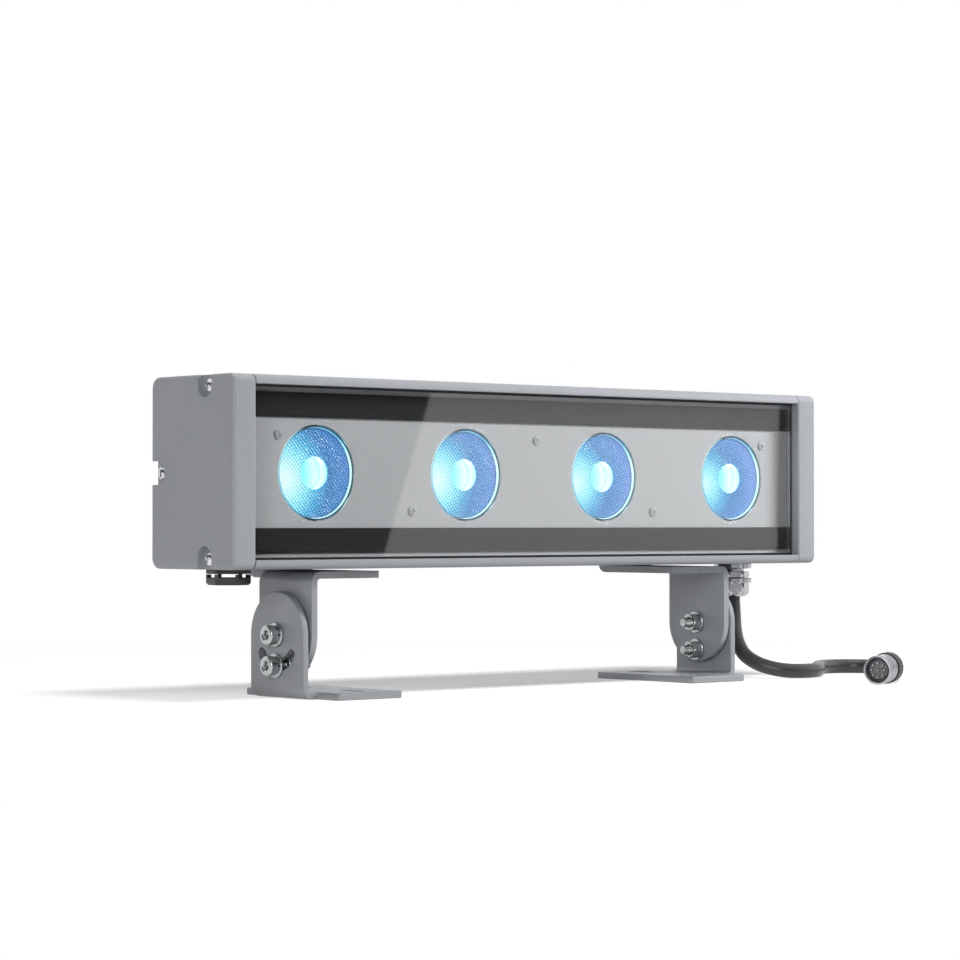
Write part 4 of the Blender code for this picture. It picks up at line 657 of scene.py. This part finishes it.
def make_connector():
    """Sleeve with grip rings, insert with a ring of pins, and the back ring with its boot."""
    place = connector_frame()
    bm = bmesh.new()
    knurl = ribs(48, 0.14)
    add_turned(bm, [
        (7.0, 1.3), (7.7, 0.15), (7.85, 0.0), (8.3, 0.05), (8.5, 0.2), (8.6, 0.5), (8.6, 4.3), (8.4, 4.6),
        (8.05, 4.9), (7.9, 5.4), (7.95, 6.6), (8.25, 7.1), (8.5, 7.4), (8.6, 7.7), (8.6, 7.9, knurl),
        (8.6, 9.4, knurl), (8.5, 9.6), (8.1, 9.9), (8.05, 11.0), (8.35, 11.5), (8.55, 11.9),
        (8.6, 12.3), (8.6, 13.0), (8.45, 13.4), (7.0, 13.4),
    ], place, segments=144, closed=True)
    sleeve = place_piece("connector_ring_sleeve", bm, SATIN_NICKEL, "left_foot", "nickel",
                         "connector_sleeve")
    bm = bmesh.new()
    add_turned(bm, [
        (0, 3.4), (5.6, 3.4), (5.7, 3.5), (5.7, 5.6), (6.3, 5.6), (6.35, 4.1), (6.6, 4.15), (6.7, 4.3),
        (6.7, 13.4), (0, 13.4),
    ], place, segments=64)
    insert = place_piece("connector_pin_face", bm, PIN_FACE, "left_foot", "black_plastic",
                         "connector_insert")
    bm = bmesh.new()
    spots = [around(4.2, math.pi * step / 4, 0) for step in range(8)]
    pin = [(0, 1.0), (0.35, 1.05), (0.6, 1.25), (0.7, 1.6), (0.7, 3.6), (0, 3.6)]
    for spot in spots + [Vector((0, 0, 0))]:
        add_turned(bm, pin, place @ Matrix.Translation(spot), segments=16)
    pins = place_piece("connector_pins", bm, NICKEL, "left_foot", "nickel", "connector_insert")
    bm = bmesh.new()
    grip = ribs(30, 0.35)
    add_turned(bm, [
        (4.8, 13.7), (8.4, 13.7), (9.0, 13.8), (9.3, 14.2), (9.3, 14.6, grip), (9.3, 20.0, grip),
        (9.2, 20.4), (8.8, 20.9), (8.1, 21.1), (6.9, 21.2), (6.4, 21.6), (6.1, 22.5), (5.85, 25.0),
        (5.75, 26.4), (5.5, 26.9), (5.1, 27.0), (4.8, 27.0),
    ], place, segments=120, closed=True)
    ring = place_piece("connector_grip_ring", bm, POLYAMIDE, "left_foot", "black_plastic",
                       "connector_back_nut")
    return [sleeve, insert, pins, ring]


def make_cord(connector):
    """The lead from the gland's mouth to the connector. Its whole length shows in the photograph."""
    points = [Vector(point) * MM for point in CABLE_ROUTE]
    points.append(connector_frame() @ Vector((0, 0, 27.3 * MM)))
    path = smooth_path(points, steps=208)
    bm = bmesh.new()
    add_tube(bm, path, CABLE_RADIUS)
    lead = place_piece("supply_lead", bm, JACKET, None, "cable_jacket", "cable")
    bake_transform(lead)


make_cord(make_connector())


# Housing and what is behind its glass

dress(COAT, "housing_profile", rounding=0.35)
dress(COAT, "left_end_cap", "right_end_cap", rounding=0.3)
dress(SEAL_RUBBER, "left_cap_seal", "right_cap_seal", "glass_gasket", rounding=0.15)
dress(GLASS, "front_glass")
dress(PRINT, "lower_mask_strip", "upper_mask_strip")
dress(PLATE_PAINT, "lens_plate", rounding=0.2)
dress(BOARD, "led_board", "driver_board", rounding=0.2)
dress(ALUMINIUM, "heat_spreader", rounding=0.2)
dress(PHOSPHOR, *(f"led_{number}" for number in range(1, LENS_COUNT + 1)))
dress(JACKET, "lead_tail")
dress(POLYAMIDE, "vent_body", "vent_cap", rounding=0.25)
dress(SEAL_RUBBER, "gland_seal")


def make_lens(number):
    """Clear flange on the plate, honeycomb face deep in a flared dish, scalloped eye, cone behind."""
    x = (number - (LENS_COUNT + 1) / 2) * LENS_PITCH
    scallop = ribs(22, 0.9)
    bm = bmesh.new()
    profile = [
        (0, -1.2), (2, -1.22), (4, -1.3), (6, -1.45), (7.6, -1.75), (8.8, -2.1), (9.3, -2.44, scallop),
        (9.5, -2.5, scallop), (12, -2.5), (16, -2.5), (20, -2.5), (23, -2.5), (24.5, -2.5),
        (24.75, -2.4), (24.8, -2.2), (25.05, -0.7), (25.3, -0.2), (26.0, 0.7), (26.3, 0.8),
        (27.4, 0.8), (27.8, 0.7), (28.0, 0.55), (27.9, 0.35), (27.7, 0.3), (26.0, 0.3), (26.0, -3.9),
        (23.4, -3.9),
        (22.5, -6.5), (20.6, -10.0), (18.0, -14.0), (14.8, -17.8), (11.6, -20.6), (10.0, -21.1),
        (10.0, -22.8), (7.0, -22.8), (7.0, -17.8), (4.2, -16.8), (0, -16.8),
    ]
    add_turned(bm, profile, facing((0, -1, 0), (x, PLATE_FRONT, MIDDLE)), segments=132)
    lens = place_piece(f"collimator_lens_{number}", bm, HONEYCOMB, "housing", "lens", f"lens_{number}")
    surfaces = [HONEYCOMB, LIT_EYE, LIT_EDGE, CLEAR_FLANGE]
    for surface in surfaces[1:]:
        lens.data.materials.append(surface)
    # The honeycomb face lies 2.5 mm below the plate, and the flange starts at the top of the dish
    for face in lens.data.polygons:
        rise = PLATE_FRONT - face.center.y
        reach = math.hypot(face.center.x - x, face.center.z - MIDDLE)
        if rise < -2.6 * MM or reach > DISH_RADIUS + 0.3 * MM:
            face.material_index = surfaces.index(CLEAR_FLANGE)
        elif reach > DISH_RADIUS - 0.1 * MM:
            face.material_index = surfaces.index(LIT_EDGE)
        elif reach < EYE_RADIUS - 0.4 * MM:
            face.material_index = surfaces.index(LIT_EYE)


for number in range(1, LENS_COUNT + 1):
    make_lens(number)


# Screws, bolts and nuts

def crown(radius, low, rise, power, steps):
    """Rows of a head's rounded top, from its edge to its middle."""
    rows = []
    for index in range(1, steps + 1):
        reach = radius * (1 - index / steps)
        rows.append((reach, low + rise * (1 - (reach / radius) ** power)))
    return rows


def make_cap_screw(side_name, side, spot_name, y, z):
    """Pan head with a cross recess, on its shank in the cap's boss."""
    place = facing((side, 0, 0), (side * (END - CAP_RECESS_DEPTH + GAP), y * MM, z * MM))
    bm = bmesh.new()
    profile = [(0, -28.5), (1.3, -28.5), (1.9, -27.6), (2, 0), (3.7, 0), (3.92, 0.1), (4, 0.4), (4, 0.9)]
    add_turned(bm, profile + crown(4, low=0.9, rise=1.7, power=2.6, steps=24), place, segments=96)
    press_cross(bm, place, span=4.6, width=1.15, depth=1.5, above=1.0)
    name = f"{side_name}_cap_screw_{spot_name}"
    place_piece(f"{name}_cross_head", bm, STAINLESS, "housing", "steel", name, angle=60)


def make_plate_screw(number, x, z):
    """Small pan head with a cross recess, painted over with the lens plate."""
    place = facing((0, -1, 0), (x, PLATE_FRONT - GAP, z))
    bm = bmesh.new()
    profile = [(0, -8), (0.9, -8), (1.25, -7.4), (1.25, 0), (2.6, 0), (2.75, 0.12), (2.75, 0.3)]
    add_turned(bm, profile + crown(2.75, low=0.3, rise=0.5, power=2.4, steps=18), place, segments=72)
    press_cross(bm, place, span=3.0, width=0.7, depth=0.6, above=0.35)
    place_piece(f"plate_screw_{number}_cross_head", bm, PLATE_PAINT, "housing", "steel",
                f"plate_screw_{number}", angle=60)


def make_bolt(side_name, side, spot_name, height, body):
    """Socket-head bolt with a knurled head, on a split spring washer and a flat washer."""
    place = facing((side, 0, 0), (side * FOOT_OUTER, 0, height))
    knurl = ribs(36, 0.12)
    key = hexagon(2.5)
    bm = bmesh.new()
    add_turned(bm, [
        (0, -13.0), (3, -13.0), (3, 3.0), (5.1, 3.0), (5.4, 3.15), (5.5, 3.5), (5.5, 3.8, knurl),
        (5.5, 6.4, knurl), (5.5, 6.8), (5.4, 7.15), (5.1, 7.45), (4.7, 7.6), (3.15, 7.6),
        (2.887, 7.25, key), (2.887, 5.0, key), (1.6, 4.6), (0, 4.4),
    ], place, segments=108)
    add_thread(bm, place, radius=3, low=-22.0, high=-12.8, pitch=1.0)
    add_turned(bm, [(3.1, 0.3), (6.5, 0.3), (6.7, 0.5), (6.7, 1.5), (6.5, 1.7), (3.1, 1.7)],
               place, segments=48, closed=True)
    add_turned(bm, [(3.05, -5.8), (6.5, -5.8), (6.7, -5.6), (6.7, -4.5), (6.5, -4.3), (3.05, -4.3)],
               place, segments=48, closed=True)
    add_rows(bm, spring_washer_rows(place))
    name = f"{side_name}_{spot_name}_bolt"
    place_piece(f"{name}_socket_head", bm, ZINC, body, "steel", name, angle=48)


def spring_washer_rows(place):
    """Sections of the split ring, which rises a little from one cut end to the other."""
    rows = []
    steps = 40
    for step in range(steps + 1):
        angle = math.radians(6 + 348 * step / steps)
        lift = 0.1 + 0.12 * step / steps
        corners = [(3.15, 1.7), (5.3, 1.7), (5.3, 2.8), (3.15, 2.8)]
        rows.append([place @ around(reach, angle, height + lift) for reach, height in corners])
    middle_start = sum(rows[0], Vector()) / 4
    middle_end = sum(rows[-1], Vector()) / 4
    return [[middle_start]] + rows + [[middle_end]]


def make_nut(side_name, side, spot_name, height, body):
    """Hexagon nut with chamfered corners, round the bolt's thread, on a flat washer."""
    place = facing((side, 0, 0), (side * FOOT_OUTER, 0, height))
    flats = hexagon(5.0)
    bm = bmesh.new()
    add_turned(bm, [
        (3.2, -11.7), (4.9, -11.7), (5.3, -11.85, flats), (5.774, -12.2, flats), (5.774, -16.2, flats),
        (5.3, -16.55, flats), (4.9, -16.7), (3.5, -16.7), (3.2, -16.4),
    ], place, segments=72, closed=True)
    add_turned(bm, [
        (3.3, -10.3), (6.5, -10.3), (6.7, -10.5), (6.7, -11.5), (6.5, -11.68), (3.3, -11.68),
    ], place, segments=48, closed=True)
    name = f"{side_name}_{spot_name}_nut"
    place_piece(f"{name}_hexagon", bm, ZINC, body, "steel", name, angle=30)


for side_name, side in SIDES.items():
    for spot_name, (y, z) in CAP_SCREW_SPOTS.items():
        make_cap_screw(side_name, side, spot_name, y, z)
for number in range(1, PLATE_SCREW_COUNT + 1):
    rise = PLATE_SCREW_OFFSET if number % 2 else -PLATE_SCREW_OFFSET
    x = (number - (PLATE_SCREW_COUNT + 1) / 2) * PLATE_SCREW_PITCH
    make_plate_screw(number, x, MIDDLE + rise)


# Arms and feet

dress(STEEL_COAT, "left_arm", "right_arm", "left_foot", "right_foot")
dress(STAINLESS, "left_slide_nut", "right_slide_nut", rounding=0.3)
for side_name in SIDES:
    dress(STAINLESS, f"{side_name}_arm_screw_1", f"{side_name}_arm_screw_2", rounding=0.15)
body_of = {
    node: body for body, members in frame["record"]["behaviour"]["bodies"].items() for node in members}
for side_name, side in SIDES.items():
    for spot_name, height in BOLT_HEIGHTS.items():
        for kind, make in (("bolt", make_bolt), ("nut", make_nut)):
            make(side_name, side, spot_name, height, body_of[f"{side_name}_{spot_name}_{kind}"])


# Cable gland

def make_gland():
    """Nickel-plated body with a round flange and hexagon, and the domed hexagonal cap nut."""
    place = Matrix.Translation((GLAND_X, 0, UNDERSIDE)) @ Matrix.Rotation(GLAND_TURN, 4, "Z")
    flats = hexagon(9.1)
    bm = bmesh.new()
    add_turned(bm, [
        (4.8, 8.0), (7.6, 8.0), (8.0, 7.6), (8.0, -0.3), (11.4, -0.3), (11.8, -0.7), (11.8, -3.1),
        (11.4, -3.5), (7.5, -3.5), (7.2, -3.9), (7.2, -5.0), (7.5, -5.3), (9.2, -5.3, flats),
        (9.9, -5.5, flats), (10.5, -5.9, flats), (10.5, -8.5, flats), (9.9, -8.9, flats), (9.0, -9.1),
        (4.8, -9.1),
    ], place, segments=96, closed=True)
    place_piece("gland_hexagon_body", bm, NICKEL, "housing", "nickel", "gland_body", angle=30)
    bm = bmesh.new()
    add_turned(bm, [
        (7.1, -9.4), (11.4, -9.4), (11.8, -9.8), (11.8, -12.0), (11.4, -12.4), (9.6, -12.4),
        (10.2, -12.7, flats), (10.5, -13.2, flats), (10.5, -18.0, flats), (10.1, -18.9, flats),
        (9.4, -19.8, flats), (8.5, -20.6), (7.6, -21.1), (6.9, -21.2), (5.7, -21.2), (5.3, -20.8),
        (5.3, -19.2), (7.1, -19.2),
    ], place, segments=96, closed=True)
    place_piece("gland_domed_nut", bm, NICKEL, "housing", "nickel", "gland_cap_nut", angle=30)


make_gland()


# Studio: white floor and background, soft lamps, and cards that only reflections see

FLOOR_LIFT = 0.26               # light that the paper itself gives, to what sees it directly
FLOOR_BOUNCE = 0.4              # share of the paper's paleness that lights the part from below

# Metres over which the paper turns white: away from the middle, and away from the shadow's oval
FAR_FADE = {"From Min": 0.36, "From Max": 0.75}
SHADOW_OVAL = {"Location": (-0.04, -0.12, 0), "Scale": (0.45, 1, 1)}
SHADOW_FADE = {"From Min": 0.06, "From Max": 0.2, "To Max": 0.75}


def add_sheet(name, corners, surface):
    """A flat sheet of the studio, which isn't part of the object."""
    mesh = bpy.data.meshes.new(name)
    mesh.from_pydata(corners, [], [tuple(range(len(corners)))])
    mesh.materials.append(surface)
    sheet = bpy.data.objects.new(name, mesh)
    bpy.context.scene.collection.objects.link(sheet)
    return sheet


def seen_rays(tree):
    """One for what the camera sees directly, in mirrors and through glass, and zero for the rest."""
    path = add_node(tree, "ShaderNodeLightPath")
    seen = add_node(tree, "ShaderNodeMath",
                    {0: path.outputs["Is Camera Ray"], 1: path.outputs["Is Glossy Ray"]},
                    operation="MAXIMUM")
    return add_node(tree, "ShaderNodeMath", {0: seen.outputs[0], 1: path.outputs["Is Transmission Ray"]},
                    operation="MAXIMUM").outputs[0]


def white_floor():
    """Pale paper. It keeps the part's shadow in an oval behind the part and shows as plain white
    further off. What light it throws back up at the part is weaker than its paleness."""
    made, tree, shader, place = start_material("white_paper", roughness=0.9)
    shader.inputs["Specular IOR Level"].default_value = 0.0
    grain = add_node(tree, "ShaderNodeTexNoise", {"Vector": place, "Scale": 1 / (3 * MM)})
    paper = colour_stops(tree, grain.outputs["Fac"], [(0.0, "#EFEFEF"), (1.0, "#F2F2F2")])
    seen = seen_rays(tree)
    share = add_node(tree, "ShaderNodeMapRange", {"Value": seen, "To Min": FLOOR_BOUNCE, "To Max": 1.0})
    shown = add_node(tree, "ShaderNodeVectorMath", {0: paper, "Scale": share.outputs["Result"]},
                     operation="SCALE")
    tree.links.new(shown.outputs["Vector"], shader.inputs["Base Color"])
    lift = add_node(tree, "ShaderNodeMath", {0: seen, 1: FLOOR_LIFT}, operation="MULTIPLY")
    shader.inputs["Emission Color"].default_value = WHITE
    tree.links.new(lift.outputs[0], shader.inputs["Emission Strength"])
    reach = add_node(tree, "ShaderNodeVectorMath", {0: place}, operation="LENGTH")
    far = add_node(tree, "ShaderNodeMapRange", {"Value": reach.outputs["Value"], **FAR_FADE},
                   interpolation_type="SMOOTHSTEP")
    behind = add_node(tree, "ShaderNodeMapping", {"Vector": place, **SHADOW_OVAL})
    off = add_node(tree, "ShaderNodeVectorMath", {0: behind.outputs["Vector"]}, operation="LENGTH")
    near = add_node(tree, "ShaderNodeMapRange", {"Value": off.outputs["Value"], **SHADOW_FADE},
                    interpolation_type="SMOOTHSTEP")
    bleach = add_node(tree, "ShaderNodeMath", {0: far.outputs["Result"], 1: near.outputs["Result"]},
                      operation="MAXIMUM")
    fade = add_node(tree, "ShaderNodeMath", {0: bleach.outputs[0], 1: seen}, operation="MULTIPLY")
    white = add_node(tree, "ShaderNodeEmission", {"Color": WHITE, "Strength": 1.0})
    mix = add_node(tree, "ShaderNodeMixShader",
                   {0: fade.outputs[0], 1: shader.outputs["BSDF"], 2: white.outputs["Emission"]})
    tree.links.new(mix.outputs[0], tree.nodes["Material Output"].inputs["Surface"])
    return made


def card(name, code, strength):
    """Board that glows evenly, for reflections in the glass and the metal."""
    made, _, shader, _ = start_material(name, roughness=1.0)
    shader.inputs["Base Color"].default_value = colour("#000000")
    shader.inputs["Emission Color"].default_value = colour(code)
    shader.inputs["Emission Strength"].default_value = strength
    return made


def only_reflected(sheet):
    """Hide a sheet from all but mirrors and glass."""
    for ray in ("camera", "diffuse", "volume_scatter", "shadow"):
        setattr(sheet, f"visible_{ray}", False)


def hang_card(name, y, corners, surface):
    """A card across the front at a distance, from its (x, z) corners."""
    only_reflected(add_sheet(name, [(x, y, z) for x, z in corners], surface))


def add_lamp(name, place, aim, size, power, receivers=None, mirrored=True):
    """A round soft lamp. It can light chosen things only, and can be left out of reflections."""
    lamp = bpy.data.lights.new(name, "AREA")
    lamp.shape = "DISK"
    lamp.size = size
    lamp.energy = power
    holder = bpy.data.objects.new(name, lamp)
    holder.location = place
    holder.rotation_euler = (Vector(aim) - Vector(place)).to_track_quat("-Z", "Y").to_euler()
    holder.visible_camera = False
    holder.visible_glossy = mirrored
    holder.light_linking.receiver_collection = receivers
    bpy.context.scene.collection.objects.link(holder)


def make_world(ambient):
    """White to the camera, mirrors and glass; a dimmer, even white to everything else."""
    world = bpy.data.worlds.new("white_surround")
    bpy.context.scene.world = world
    world.use_nodes = True
    tree = world.node_tree
    tree.nodes["Background"].inputs["Color"].default_value = WHITE
    strength = add_node(tree, "ShaderNodeMapRange",
                        {"Value": seen_rays(tree), "To Min": ambient, "To Max": 1.0})
    tree.links.new(strength.outputs["Result"], tree.nodes["Background"].inputs["Strength"])


def lit_by(name, sheet, state):
    """What a lamp lights: only the sheet, or everything but the sheet."""
    group = bpy.data.collections.new(name)
    group.objects.link(sheet)
    group.collection_objects[0].light_linking.link_state = state
    return group


make_world(ambient=0.1)
floor = add_sheet("floor", [(-6, -6, 0), (6, -6, 0), (6, 6, 0), (-6, 6, 0)], white_floor())
above_floor = lit_by("above_floor", floor, "EXCLUDE")
only_floor = lit_by("only_floor", floor, "INCLUDE")
pale = card("pale_reflector", "#FFFFFF", strength=0.98)
dark = card("dark_drape", "#2A2B2C", strength=0.6)
curtain = card("grey_curtain", "#5A5C5E", strength=0.8)
hang_card("reflector", -2.0, [(1.466, 0.0), (2.28, 0.0), (2.29, 0.5), (1.653, 0.5)], pale)
hang_card("drape", -2.05, [(0.7, 0.0), (3.6, 0.0), (3.6, 0.75), (0.7, 0.75)], dark)
hang_card("curtain", -2.6, [(-5.0, 0.0), (0.2, 0.0), (0.2, 2.4), (-5.0, 2.4)], curtain)
only_reflected(add_sheet(
    "side_curtain", [(-3.4, 3.4, 0.0), (-3.4, -2.6, 0.0), (-3.4, -2.6, 2.4), (-3.4, 3.4, 2.4)], curtain))
part_middle = (0.0, 0.0, 0.11)
# Seen from behind, the key's glancing highlight would clip on the housing's top, so it isn't mirrored
add_lamp("key", (1.1, -0.8, 0.7), part_middle, size=0.5, power=24, receivers=above_floor, mirrored=False)
add_lamp("fill", (-1.9, -1.2, 0.6), part_middle, size=0.8, power=15, receivers=above_floor)
add_lamp("top", (0.1, 0.2, 1.6), (0.0, 0.0, 0.1), size=0.7, power=4.5)
add_lamp("paper", (-0.05, -0.8, 1.5), (0.0, 0.05, 0.0), size=0.5, power=31, receivers=only_floor)

bpy.context.scene.view_settings.view_transform = "Standard"
